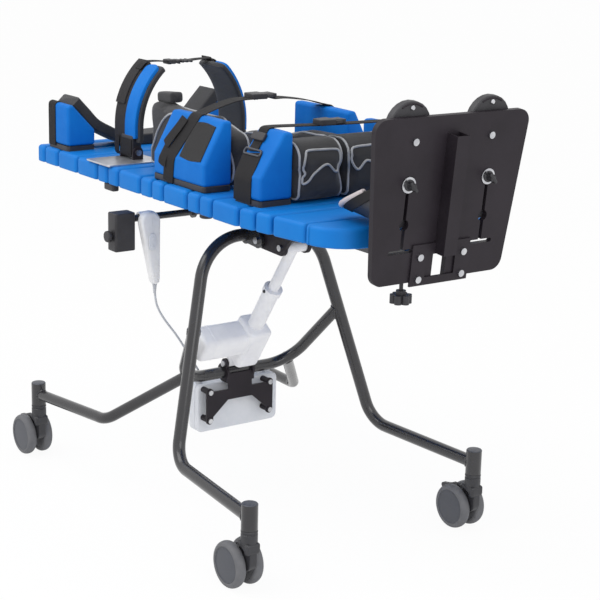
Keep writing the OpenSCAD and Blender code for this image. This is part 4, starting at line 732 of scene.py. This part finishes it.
def woven_web():
    """Herringbone webbing: height runs in slanted ribs that turn back at even steps across, in the web's metres."""
    tree, given, out = effect("woven_web", {"Colour": (0.02, 0.02, 0.02, 1.0), "Thread": (0.05, 0.05, 0.05, 1.0),
                                            "Pitch": 420.0, "Columns": 0.006, "Rough": 0.7, "Spread": 0.12})
    laid = add(tree, "SeparateXYZ", {0: add(tree, "TexCoord").outputs["UV"]}).outputs
    slant = add(tree, "Math", {0: laid["X"], 1: given["Columns"]}, operation="PINGPONG")
    run = add(tree, "Math", {0: laid["Y"], 1: slant.outputs[0]}, operation="ADD")
    turns = add(tree, "Math", {0: run.outputs[0], 1: given["Pitch"]}, operation="MULTIPLY")
    phase = add(tree, "Math", {0: turns.outputs[0], 1: 2 * np.pi}, operation="MULTIPLY")
    wave = add(tree, "Math", {0: phase.outputs[0]}, operation="SINE")
    ribs = add(tree, "MapRange", {"Value": wave.outputs[0], "From Min": -1.0, "From Max": 1.0})
    fuzz = add(tree, "TexNoise", {"Vector": add(tree, "TexCoord").outputs["Object"], "Scale": 900.0, "Detail": 3.0})
    share = add(tree, "Math", {0: ribs.outputs[0], 1: fuzz.outputs["Fac"]}, operation="MULTIPLY")
    return put_out(tree, given, out, "Thread", share.outputs[0], fuzz.outputs["Fac"], ribs.outputs[0])


weave = woven_web()
herringbone = {"Pitch": 480.0, "Columns": 0.0062, "Rough": 0.62, "Spread": 0.2}
webbing = finish("black_webbing", weave, {"Colour": srgb(17, 16, 18), "Thread": srgb(47, 45, 48), **herringbone},
                 0.0003, Specular_IOR_Level=0.3)
grey_web = finish("grey_webbing", weave, {"Colour": srgb(30, 29, 31), "Thread": srgb(62, 60, 63), **herringbone},
                  0.0003, Specular_IOR_Level=0.3)


def web(name, points, across, width, thick=0.0022, count=90, round_ends=(0.0, 0.0)):
    """Flat strap: a thin rounded strip carried along a smooth path, with its own metres laid on it for the weave."""
    path = smooth_path(points, count)
    profile = soft_bar(width, thick, 0.18, 24)
    run = np.linspace(0, np.linalg.norm(np.diff(path, axis=0), axis=1).sum(), count)
    x = np.append(profile[:, 0], profile[0, 0])
    uv = np.stack(np.broadcast_arrays(x[None, :] + width, run[:, None]), axis=2)
    return surface(name, carry(path, profile, across, round_ends=round_ends), uv=uv)


def at_x(line, x, s):
    """A line in Y and Z at one place along the board, mirrored to the left side where s is -1."""
    return np.column_stack([np.full(len(line), x), line[:, 0] * s, line[:, 1]])


head_side = np.array([(-0.2293, 0.7720), (-0.2293, 0.8200), (-0.2293, 0.8600), (-0.2278, 0.8725), (-0.2200, 0.8770),
                      (-0.2135, 0.8745), (-0.2050, 0.8665)])
for side, s in mirrored:
    head_strap = web(f"head_strap_{side}", at_x(head_side, -0.587, s), along_board, 0.034, 0.0024, 60)
    dress(head_strap, "board", "webbing_black", webbing)


# Chest support: two curved arms on hinged steel base plates. Each is a black padded lining with a blue foam strip
# and a wide grey web sewn along its back, and its foot sits in a moulded boot on the hinge.
hinge_y, hinge_z = 0.145, 0.785
bend_r, bend_y, bend_z = 0.186, 0.041, 0.840
rise_steps, bend_steps = 12, 46


def arm_line(turn_end, start=0.806, out=0.0):
    """Path of a chest arm in Y and Z: straight up from the hinge, then bent in over the chest on one arc."""
    straight = np.stack([np.full(rise_steps, -hinge_y - out), np.linspace(start, 0.838, rise_steps)], axis=1)
    turn = np.pi - np.linspace(0, np.radians(turn_end), bend_steps)
    arc = np.stack([bend_y + (bend_r + out) * np.cos(turn), bend_z + (bend_r + out) * np.sin(turn)], axis=1)
    return np.concatenate([straight, arc])


arm_x0, arm_x1, hem_r = -0.416, -0.310, 0.0148
for side, s in mirrored:
    arm_body = f"chest_{side}"
    lining_path = at_x(arm_line(50.0, out=-0.004), (arm_x0 + arm_x1) / 2, s)
    lining = surface(f"chest_lining_{side}", carry(lining_path, soft_bar(0.106, 0.013, 0.3), along_board,
                                                   round_ends=(0.004, 0.006)))
    dress(lining, arm_body, "cushion_black", cushion_cloth, f"chest_arm_{side}")
    shell_path = at_x(arm_line(48.5, start=0.816, out=0.005), -0.3420, s)
    shell = surface(f"chest_shell_{side}", carry(shell_path, soft_bar(0.048, 0.012, 0.26), along_board,
                                                 round_ends=(0.003, 0.016)))
    dress(shell, arm_body, "foam_blue", foam_skin)
    back_web = web(f"chest_back_web_{side}", at_x(arm_line(49.0, start=0.800, out=0.006), arm_x0 + 0.0250, s),
                   along_board, 0.049, 0.006)
    dress(back_web, arm_body, "webbing_black", grey_web)
    second_web = web(f"chest_second_web_{side}", at_x(arm_line(49.5, out=0.0105)[26:], arm_x0 + 0.0190, s),
                     along_board, 0.040, 0.0035)
    dress(second_web, arm_body, "webbing_black", grey_web)
    boot_outline = [(-0.1585, 0.7706), (-0.1315, 0.7706), (-0.1335, 0.8240), (-0.1575, 0.8240)]
    boot = moulded(f"chest_boot_{side}", boot_outline, [0.0132, 0.0132, 0.004, 0.004], -0.378, -0.326, 0.003,
                   side_on(s))
    dress(boot, arm_body, "plastic_black", black_nylon)
    hem_turn = np.radians(np.linspace(238, 180, 16))
    hem = np.concatenate([np.stack([-hinge_y + hem_r * np.cos(hem_turn), hinge_z + hem_r * np.sin(hem_turn)], axis=1),
                          [(-0.1598, 0.800), (-0.1585, 0.816)]])
    skirt = [web("skirt", at_x(hem, x, s), along_board, width, 0.0012, 40)
             for x, width in ((-0.3520, 0.051), (-0.3942, 0.020))]
    dress(joined(f"chest_skirt_{side}", *skirt), arm_body, "webbing_black", webbing)
steel_sheet = finish("steel_sheet", brushed, {"Colour": srgb(206, 208, 214), "Drift": srgb(188, 190, 197),
                                              "Marks": 160.0, "Rough": 0.3, "Spread": 0.14}, 0.00004, Metallic=0.9)
board_top = 0.765
sheets = [moulded("sheet", box_corners(-0.388, -0.280, *sorted((s * 0.100, s * 0.245))), 0.004, board_top, 0.769,
                  0.0008, flat_up) for s in (-1.0, 1.0)]
dress(joined("chest_base_sheets", *sheets), "board", "steel", steel_sheet, "chest_plates")
ear_half = 0.0138
ears = [moulded("ear", box_corners(s * hinge_y - ear_half, s * hinge_y + ear_half, 0.7685, 0.7988),
                [0.0005, 0.0005, 0.0136, 0.0136], x, x + 0.005, 0.0008, facing_x)
        for s in (-1.0, 1.0) for x in (-0.3833, -0.3257)]
dress(joined("chest_hinge_ears", *ears), "board", "black_plate", plate_paint)


# Buckles: side-release buckles and ladder locks in black acetal, with a rounded socket, two prongs and ribs.
# They are sewn to the straps, and the chest strap's two halves meet in one between the arms' tips.
def buckle(name, middle, length, width, thick, along, across):
    """Side-release buckle: a rounded socket, a narrower plug in its mouth, and a prong on each side."""
    along, across = unit(np.asarray(along, float)), unit(np.asarray(across, float))
    to = (np.asarray(middle, float), along, across, np.cross(along, across))
    l, w, t = length / 2, width / 2, thick / 2
    socket = moulded("socket", [(-l, -w * 0.82), (l * 0.16, -w), (l * 0.16, w), (-l, w * 0.82)], 0.003, -t, t, 0.002,
                     to)
    plug = moulded("plug", [(l * 0.05, -w * 0.5), (l, -w * 0.86), (l, w * 0.86), (l * 0.05, w * 0.5)], 0.003, -t * 0.8,
                   t * 0.8, 0.0018, to)
    prongs = [moulded("prong", [(l * 0.1, s * w * 0.96 - 0.0025), (l * 0.62, s * w * 0.9 - 0.0025),
                                (l * 0.62, s * w * 0.9 + 0.0015), (l * 0.1, s * w * 0.96 + 0.0015)], 0.0012, -t * 0.6,
                      t * 0.6, 0.001, to) for s in (-1, 1)]
    bars = [moulded("bar", box_corners(e - 0.0018, e + 0.0018, -w * 0.8, w * 0.8), 0.0015, t * 0.55, t + 0.0008,
                    0.0006, to) for e in (-l * 0.82, -l * 0.62, l * 0.86)]
    return joined(name, socket, plug, *prongs, *bars)


tip_y, tip_z = 0.0927, 0.9834
strap_x = -0.383
for side, s, end_y, stands_for in (("right", -1.0, 0.030, "chest_buckle"), ("left", 1.0, 0.018, "chest_strap")):
    half = [(strap_x, s * (tip_y + 0.016), tip_z - 0.012), (strap_x, s * tip_y, tip_z + 0.002),
            (strap_x, s * (tip_y - 0.028), tip_z + 0.004), (strap_x, s * end_y, tip_z + 0.001)]
    dress(web(f"chest_strap_{side}_web", half, along_board, 0.025), f"chest_{side}", "webbing_black", webbing,
          stands_for)
chest_clip = buckle("chest_buckle_moulded", (strap_x, -0.0175, tip_z + 0.001), 0.034, 0.034, 0.010, across_board,
                    along_board)
dress(chest_clip, "chest_right", "plastic_black", black_nylon)
ladder = [moulded("ladder", box_corners(strap_x - 0.017, strap_x + 0.017, y - 0.003, y + 0.003), 0.002, tip_z - 0.002,
                  tip_z + 0.004, 0.0015, flat_up) for y in (0.004, 0.016, 0.028)]
ladder += [moulded("rail", box_corners(x - 0.003, x + 0.003, 0.002, 0.031), 0.002, tip_z - 0.001, tip_z + 0.003,
                   0.0015, flat_up) for x in (strap_x - 0.0145, strap_x + 0.0145)]
dress(joined("chest_ladder_lock", *ladder), "chest_left", "plastic_black", black_nylon)


# Pelvic pads: tall blue foam side pads on black bases that slide across the board, clamped by a knob below.
# A black loop patch covers each pad's slope, and a strap leans over it to the buckle, with its spare ends tucked back.
def side_pad(inner, width):
    """Side outline of a pad on the right, a radius inside its skin: upright outer face, then sloped to the top."""
    return [(-inner - width + foam_r, 0.785), (-inner - foam_r, 0.785), (-inner - foam_r, 0.906),
            (-inner - 0.018, 0.906), (-inner - width + foam_r, 0.822)]


def on_slope(inner, width, share, off, x):
    """Point on a side pad's slope: a share of the way up, and off its skin, at one place along the board."""
    low, high = np.array(side_pad(inner, width))[[4, 3]]
    up = unit(high - low)
    y, z = low + (high - low) * share + np.array([-up[1], up[0]]) * (foam_r + off)
    return x, y, z


loop_pile = finish("loop_pile", knit, {"Colour": srgb(13, 12, 15), "Nap": srgb(33, 32, 36), "Cells": 1500.0,
                                       "Patch": 60.0, "Rough": 0.9, "Spread": 0.08}, 0.0006, Sheen_Weight=0.12)
pad_x0, pad_x1 = -0.119, 0.087
pelvic_pad = (0.152, 0.071)
for side, s in mirrored:
    pad_body = f"pelvic_{side}"
    flip = np.array([1.0, s, 1.0])
    pad = foam_piece(f"pelvic_pad_foam_{side}", side_pad(*pelvic_pad), pad_x0, pad_x1, s)
    dress(pad, pad_body, "foam_blue", foam_skin, f"pelvic_pad_{side}")
    base = moulded("base", box_corners(pad_x0, pad_x1, -0.223, -0.152), 0.008, board_top, 0.7785, 0.002,
                   (np.zeros(3), along_board, s * across_board, straight_up))
    stud_foot = (0.0440, -0.1875 * s, 0.0)
    stud = turned("stud", [(0.0005, 0.700), (0.0026, 0.700), (0.0026, 0.770), (0.0005, 0.770)], stud_foot,
                  straight_up, 20)
    knob = turned("knob", [(0.0005, 0.7020), (0.0125, 0.7020), (0.0148, 0.7042), (0.0150, 0.7155), (0.0130, 0.7178),
                           (0.0005, 0.7180)], stud_foot, straight_up, 40)
    dress(joined(f"pelvic_base_{side}", base, stud, knob), pad_body, "plastic_black", black_nylon)
    patch_line = np.array([on_slope(*pelvic_pad, share, 0.0008, 0.029) for share in np.linspace(0.0, 0.93, 12)])
    patch = web(f"pelvic_patch_{side}", patch_line * flip, along_board, 0.084, 0.0022, 24, (0.003, 0.003))
    dress(patch, pad_body, "webbing_black", loop_pile)
    over_top = [(-0.019, -0.1745, 0.9150), (-0.021, -0.1600, 0.9185), (-0.027, -0.1180, 0.9295),
                (-0.0325, -0.0700, 0.9390)]
    ends = [(-0.0340, -0.0280, 0.9405)] if s > 0 else [(-0.0325, -0.0600, 0.9375), (-0.0340, -0.0260, 0.9380)]
    up_slope = [on_slope(*pelvic_pad, share, 0.0016, -0.045 + 0.025 * share) for share in (0.15, 0.5, 0.85)]
    strap_line = np.array([(-0.054, -0.2245, 0.7690), (-0.051, -0.2245, 0.8000), (-0.048, -0.2240, 0.8200),
                           *up_slope, *(over_top if s > 0 else over_top[:3]), *ends])
    strap = web(f"pelvic_strap_web_{side}", strap_line * flip, along_board, 0.040)
    dress(strap, pad_body, "webbing_black", webbing, f"pelvic_strap_{side}")
    spare_at = ((0.92, 0.0042, -0.050), (0.70, 0.0052, -0.056), (0.45, 0.0058, -0.066), (0.20, 0.0050, -0.077))
    spare = np.array([on_slope(*pelvic_pad, share, off, x) for share, off, x in spare_at])
    tail_end = np.array([on_slope(*pelvic_pad, 0.24, 0.0022, -0.068), (-0.073, -0.2248, 0.8200),
                         (-0.078, -0.2262, 0.8000)])
    for end, line, count in (("spare", spare, 40), ("tail", tail_end, 30)):
        dress(web(f"pelvic_{end}_{side}", line * flip, along_board, 0.030, 0.0022, count, (0.0, 0.003)), pad_body,
              "webbing_black", webbing)
hip_clip = buckle("pelvic_buckle_moulded", (-0.034, 0.0, 0.945), 0.064, 0.046, 0.012, across_board, along_board)
dress(hip_clip, "pelvic_right", "plastic_black", black_nylon)


# Hip cushions and knee cushions: black spacer-knit covers over soft foam, piped in grey along their seams.
# The covers are cut to a side outline and filled until they swell, then the piping is laid on the seams.
fill_slack, fill_cell, fill_pressure, fill_frames = 0.35, 0.005, 4.0, 20


def stuffed(name, outline, radii, y0, y1, cap):
    """Cushion: a rounded side outline in X and Z, swept along Y a little under size, then blown up as cloth, where
    each point moves by no more than the cap."""
    outline = np.asarray(outline, float)
    low = np.array([outline[:, 0].min(), y0, outline[:, 1].min()])
    high = np.array([outline[:, 0].max(), y1, outline[:, 1].max()])
    slack = fill_slack * cap
    piece = moulded(name, grown(outline, -slack), radii, -y1 + slack, -y0 - slack, 0.010, (np.zeros(3), *upright))
    remesh = piece.modifiers.new("cells", "REMESH")
    remesh.mode = "VOXEL"
    remesh.voxel_size = fill_cell
    baked = bpy.data.meshes.new_from_object(piece.evaluated_get(bpy.context.evaluated_depsgraph_get()))
    piece.modifiers.clear()
    piece.data = baked
    count = len(baked.vertices)
    before = np.empty(count * 3)
    baked.vertices.foreach_get("co", before)
    cloth = piece.modifiers.new("fill", "CLOTH")
    cloth.settings.use_pressure = True
    cloth.settings.uniform_pressure_force = fill_pressure
    cloth.settings.effector_weights.gravity = 0.0
    for step in range(1, fill_frames + 1):
        bpy.context.scene.frame_set(step)
    swollen = piece.evaluated_get(bpy.context.evaluated_depsgraph_get()).data
    after = np.empty(count * 3)
    swollen.vertices.foreach_get("co", after)
    move = (after - before).reshape(-1, 3)
    move -= move.mean(0)
    size = np.linalg.norm(move, axis=1, keepdims=True)
    move *= np.minimum(1.0, cap / np.maximum(size, 1e-9))
    bpy.context.scene.frame_set(1)
    piece.modifiers.clear()
    baked.vertices.foreach_set("co", np.clip(before.reshape(-1, 3) + move, low, high).ravel())
    baked.shade_smooth()
    finer = piece.modifiers.new("finer", "SUBSURF")
    finer.levels = finer.render_levels = 1
    return piece


piping_r, piping_steps, seam_inset = 0.0026, 160, 0.007


def piping(name, piece, outline, out):
    """Piping cord: a thin tube on a closed line, each point pulled to the nearest place on the cushion's skin."""
    skin = BVHTree.FromObject(piece, bpy.context.evaluated_depsgraph_get())
    line = smooth_path(outline, piping_steps, closed=True)
    found = np.array([skin.find_nearest(Vector(p))[0] for p in line])
    line = smooth_path(found + np.asarray(out) * 0.0006, piping_steps, closed=True)
    return surface(name, carry(line, ring(piping_r, 10), out, closed=True), loop=True)


def at_y(line, y):
    """A line in X and Z at one place across the board."""
    return np.column_stack([line[:, 0], np.full(len(line), y), line[:, 1]])


piping_grey = finish("grey_piping", knit, {"Colour": srgb(146, 148, 152), "Nap": srgb(176, 178, 182), "Cells": 1400.0,
                                           "Patch": 60.0, "Rough": 0.6, "Spread": 0.15}, 0.0001, Sheen_Weight=0.1)
hip_outlines = {"right": [(-0.269, 0.7657), (0.094, 0.7657), (0.094, 0.8800), (-0.010, 0.9180), (-0.269, 0.9200)],
                "left": [(-0.269, 0.7657), (0.094, 0.7657), (0.094, 0.8680), (-0.020, 0.8680), (-0.269, 0.8280)]}
hip_radii = np.array([0.012, 0.030, 0.030, 0.060, 0.024])
hip_seam = np.array([(-0.262, 0.774), (-0.238, 0.818), (-0.219, 0.852), (-0.189, 0.884), (-0.149, 0.901),
                     (-0.099, 0.905), (-0.020, 0.900), (0.060, 0.870), (0.080, 0.780), (-0.100, 0.774)])
knee_outline = box_corners(0.1825, 0.2895, 0.7657, 0.8980)
knee_radii = np.array([0.022, 0.022, 0.040, 0.040])
mitten = np.array([(-0.1159, 0.8130), (-0.1110, 0.8420), (-0.1032, 0.8684), (-0.0936, 0.8840), (-0.0560, 0.8835),
                   (-0.0200, 0.8790), (-0.0130, 0.8590), (-0.0160, 0.8390), (-0.0300, 0.8290), (-0.0526, 0.8457),
                   (-0.0834, 0.8295), (-0.1000, 0.8130)])
y_signs = (("right", -1.0), ("left", 1.0))
for side, s in y_signs:
    for kind, body, slab, outline, radii, cap in (
            ("hip", f"pelvic_{side}", (0.1008, 0.1516), hip_outlines[side], hip_radii, 0.010),
            ("knee", "board", (0.0015, 0.1236), knee_outline, knee_radii, 0.012)):
        stands_for = {"hip": [f"hip_cushion_{side}"], "knee": ["knee_cushions"] if side == "right" else []}[kind]
        cushion = stuffed(f"{kind}_cushion_{side}_stuffed", outline, radii, *sorted((s * slab[0], s * slab[1])), cap)
        dress(cushion, body, "cushion_black", cushion_cloth, *stands_for)
        face = rounded_outline(outline, radii, seam_inset)
        loops = [("inner", at_y(face, s * slab[0] + s * seam_inset), -s * across_board)]
        if kind == "knee":
            loops.append(("outer", at_y(face, s * slab[1] - s * seam_inset), s * across_board))
            loops.append(("front", at_x(mitten, 0.2900, -s), along_board))
        elif side == "right":
            loops.append(("outer", at_y(hip_seam, s * slab[1]), s * across_board))
        for place, loop, out in loops:
            dress(piping(f"{kind}_piping_{place}_{side}", cushion, loop, out), body, "cushion_black", piping_grey)
flap_share = np.linspace(0, 1, 30)
flap_path = at_y(np.column_stack([-0.255 + 0.070 * flap_share, 0.9225 + 0.006 * flap_share]), -0.120)
flap = surface("hip_flap", carry(flap_path, soft_bar(0.032, 0.024, 0.5), across_board, round_ends=(0.008, 0.008)))
dress(flap, "pelvic_right", "cushion_black", cushion_cloth)


# Knee side pads: two short blue foam pads bolted to the board, each wrapped by a wide web that ends in a steel ring.
# The strap runs from the rings through a cam buckle on each side and closes over the knees.
knee_x0, knee_x1 = 0.176, 0.271
knee_pad = (0.124, 0.081)
knee_up = unit(np.subtract(on_slope(*knee_pad, 1.0, 0.0, 0.0), on_slope(*knee_pad, 0.0, 0.0, 0.0)))
knee_top = [(0.2010, -0.1465, 0.9150), (0.2035, -0.1280, 0.9172), (0.2105, -0.0800, 0.9168),
            (0.2190, -0.0300, 0.9162)]
halves = []
for side, s in mirrored:
    pad = foam_piece(f"knee_pad_foam_{side}", side_pad(*knee_pad), knee_x0, knee_x1, s)
    dress(pad, "board", "foam_blue", foam_skin, f"knee_pad_{side}")
    half_turn_to = np.array([s, s, 1.0])
    shift = np.array([0.0 if s > 0 else knee_x0 + knee_x1, 0.0, 0.0])
    wide = np.array([(0.209, -0.2065, 0.7690), (0.210, -0.2065, 0.8000), (0.211, -0.2060, 0.8200),
                     on_slope(*knee_pad, 0.20, 0.0016, 0.210), on_slope(*knee_pad, 0.46, 0.0016, 0.206)])
    dress(web(f"knee_side_web_{side}", shift + wide * half_turn_to, along_board, 0.062, 0.0024, 50), "board",
          "webbing_black", webbing)
    flat = rounded_outline(box_corners(-0.029, 0.029, -0.006, 0.006), 0.005)
    loop = np.array(on_slope(*knee_pad, 0.48, 0.0036, 0.206)) + flat[:, :1] * along_board + flat[:, 1:] * knee_up
    loop = smooth_path(shift + loop * half_turn_to, 90, closed=True)
    wire = carry(loop, ring(0.0021, 10), np.cross(along_board, knee_up) * half_turn_to, closed=True)
    dress(surface(f"knee_ring_{side}", wire, loop=True), "board", "plastic_black", hub_plastic)
    cam = moulded(f"knee_cam_{side}", box_corners(-0.022, 0.022, -0.009, 0.009), 0.004, 0.0010, 0.0085, 0.002,
                  (shift + np.array(on_slope(*knee_pad, 0.83, 0.0, 0.201)) * half_turn_to, s * along_board,
                   knee_up * half_turn_to, np.cross(-along_board, knee_up) * -half_turn_to))
    dress(cam, "board", "plastic_black", black_nylon)
    half = np.array([on_slope(*knee_pad, 0.50, 0.0040, 0.2050), on_slope(*knee_pad, 0.72, 0.0018, 0.2025),
                     on_slope(*knee_pad, 0.93, 0.0016, 0.2012), *knee_top])
    halves.append(shift + half * half_turn_to)
knee_band = web("knee_strap_web", np.concatenate([halves[0], halves[1][::-1]]), along_board, 0.030, count=140)
dress(knee_band, "board", "webbing_black", webbing, "knee_strap")
knee_clip = buckle("knee_buckle_moulded", ((knee_x0 + knee_x1) / 2, 0.0, 0.922), 0.066, 0.038, 0.012, across_board,
                   along_board)
dress(knee_clip, "board", "plastic_black", black_nylon)


# Foot end: a charcoal plate on two square bars that slide in the rails, locked by a star knob.
# A folded steel channel stiffens the plate, and wing knobs on wide washers clamp the sandals in its slots.
finish_node(plate_paint, "foot_plate", "foot_channel")
finish_node(frame_paint, "foot_slides")
finish_node(black_nylon, "star_knob")
plate_lean = np.radians(6.0)
plate_foot = np.array([0.588, 0.0, 0.663])
plate_out = np.array([np.cos(plate_lean), 0.0, -np.sin(plate_lean)])
plate_up = np.array([np.sin(plate_lean), 0.0, np.cos(plate_lean)])
sandal_y, knob_up = 0.099, 0.198
washers, wing_knobs = [], []
for y in (-sandal_y, sandal_y):
    slot_mid = plate_foot + y * across_board + knob_up * plate_up
    washers.append(turned("washer", [(0.0050, 0.0003), (0.0156, 0.0003), (0.0161, 0.0008), (0.0161, 0.0027),
                                     (0.0156, 0.0033), (0.0050, 0.0033)], slot_mid, plate_out, 48))
    wing_knobs.append(turned("hub", [(0.0005, 0.0033), (0.0114, 0.0033), (0.0114, 0.0048), (0.0086, 0.0064),
                                     (0.0076, 0.0150), (0.0062, 0.0186), (0.0005, 0.0196)], slot_mid, plate_out, 32))
    wing_along = unit(plate_up - 0.9 * across_board)
    wing_knobs.append(moulded("wings", box_corners(-0.0136, 0.0136, -0.0038, 0.0038), 0.0036, 0.0070, 0.0204, 0.0028,
                              (slot_mid, wing_along, np.cross(plate_out, wing_along), plate_out)))
dress(joined("sandal_wing_knobs", *wing_knobs), "foot", "plastic_black", black_nylon, "sandal_knobs")
dress(joined("sandal_washers", *washers), "foot", "steel", zinc)


# Sandals: black moulded soles with a heel cup that is lined in pale cloth and banded in black tape.
# The toe stands above the plate, with a raised rim and one bolt through it, and the cup ends in a padded collar.
lining_cloth = finish("pale_lining", knit, {"Colour": srgb(186, 176, 178), "Nap": srgb(206, 197, 198), "Cells": 700.0,
                                            "Patch": 30.0, "Rough": 0.8, "Spread": 0.1}, 0.0003, Sheen_Weight=0.2)
on_plate = (plate_foot, across_board, plate_up, -plate_out)
sole_front, sole_back, cup_foot = 0.0123, 0.0303, 0.0285
heel_up, cup_steps = 0.155, 64


def sole_points(y, up, depth):
    """Points given across the plate, up it and off its front face towards the board."""
    y, up, depth = np.broadcast_arrays(np.asarray(y, float), up, depth)
    return plate_foot + y[:, None] * across_board + up[:, None] * plate_up - depth[:, None] * plate_out


for side, s in y_signs:
    mid = s * sandal_y
    sole = moulded(f"sandal_sole_{side}", [(mid - 0.040, 0.108), (mid + 0.040, 0.108), (mid + 0.050, 0.240),
                                           (mid + 0.050, 0.355), (mid - 0.050, 0.355), (mid - 0.050, 0.240)],
                   [0.039, 0.039, 0.05, 0.049, 0.049, 0.05], sole_front, sole_back, 0.003, on_plate)
    dress(sole, f"sandal_{side}", "plastic_black", black_nylon, f"sandal_{side}")
    toe_turn = np.radians(np.linspace(56, 124, 40))
    toe_path = sole_points(mid + 0.0455 * np.cos(toe_turn), 0.305 + 0.0455 * np.sin(toe_turn), 0.0126)
    toe_rim = surface(f"sandal_toe_rim_{side}", carry(toe_path, ring(0.0020, 10), plate_out,
                                                      round_ends=(0.002, 0.002)))
    dress(toe_rim, f"sandal_{side}", "plastic_black", plate_paint)
    bolt_profile = [(0.0005, -0.001), (0.0050, -0.001), (0.0050, 0.0020), (0.0036, 0.0036), (0.0005, 0.0041)]
    toe_bolt = turned(f"sandal_toe_bolt_{side}", bolt_profile, sole_points([mid], 0.343, sole_front)[0], plate_out, 28)
    dress(toe_bolt, f"sandal_{side}", "steel", zinc)
    turn = np.pi + np.linspace(-0.35, np.pi + 0.35, cup_steps)
    reach = 0.035 + 0.145 * ((1 - np.sin(turn)) / 2) ** 1.2
    for layer, radius, material, slot in (("shell", 0.0480, black_nylon, "plastic_black"),
                                          ("lining", 0.0446, lining_cloth, "cushion_black")):
        flat = soft_bar(1.0, 0.0030, 0.2)
        profile = np.stack([np.outer(reach - cup_foot, flat[:, 0] + 0.5), np.tile(flat[:, 1], (cup_steps, 1))], axis=2)
        path = sole_points(mid + radius * np.cos(turn), heel_up + radius * np.sin(turn), cup_foot)
        dress(surface(f"sandal_{layer}_{side}", carry(path, profile, -plate_out)), f"sandal_{side}", slot, material)
    for piece, radius, back, profile, material in (("collar", 0.0463, 0.002, ring(0.0058), lining_cloth),
                                                   ("tape", 0.0502, 0.026, soft_bar(0.020, 0.0024, 0.3), webbing)):
        path = sole_points(mid + radius * np.cos(turn), heel_up + radius * np.sin(turn), reach - back)
        dress(surface(f"sandal_{piece}_{side}", carry(path, profile, -plate_out, round_ends=(0.003, 0.003))),
              f"sandal_{side}", "cushion_black", material)
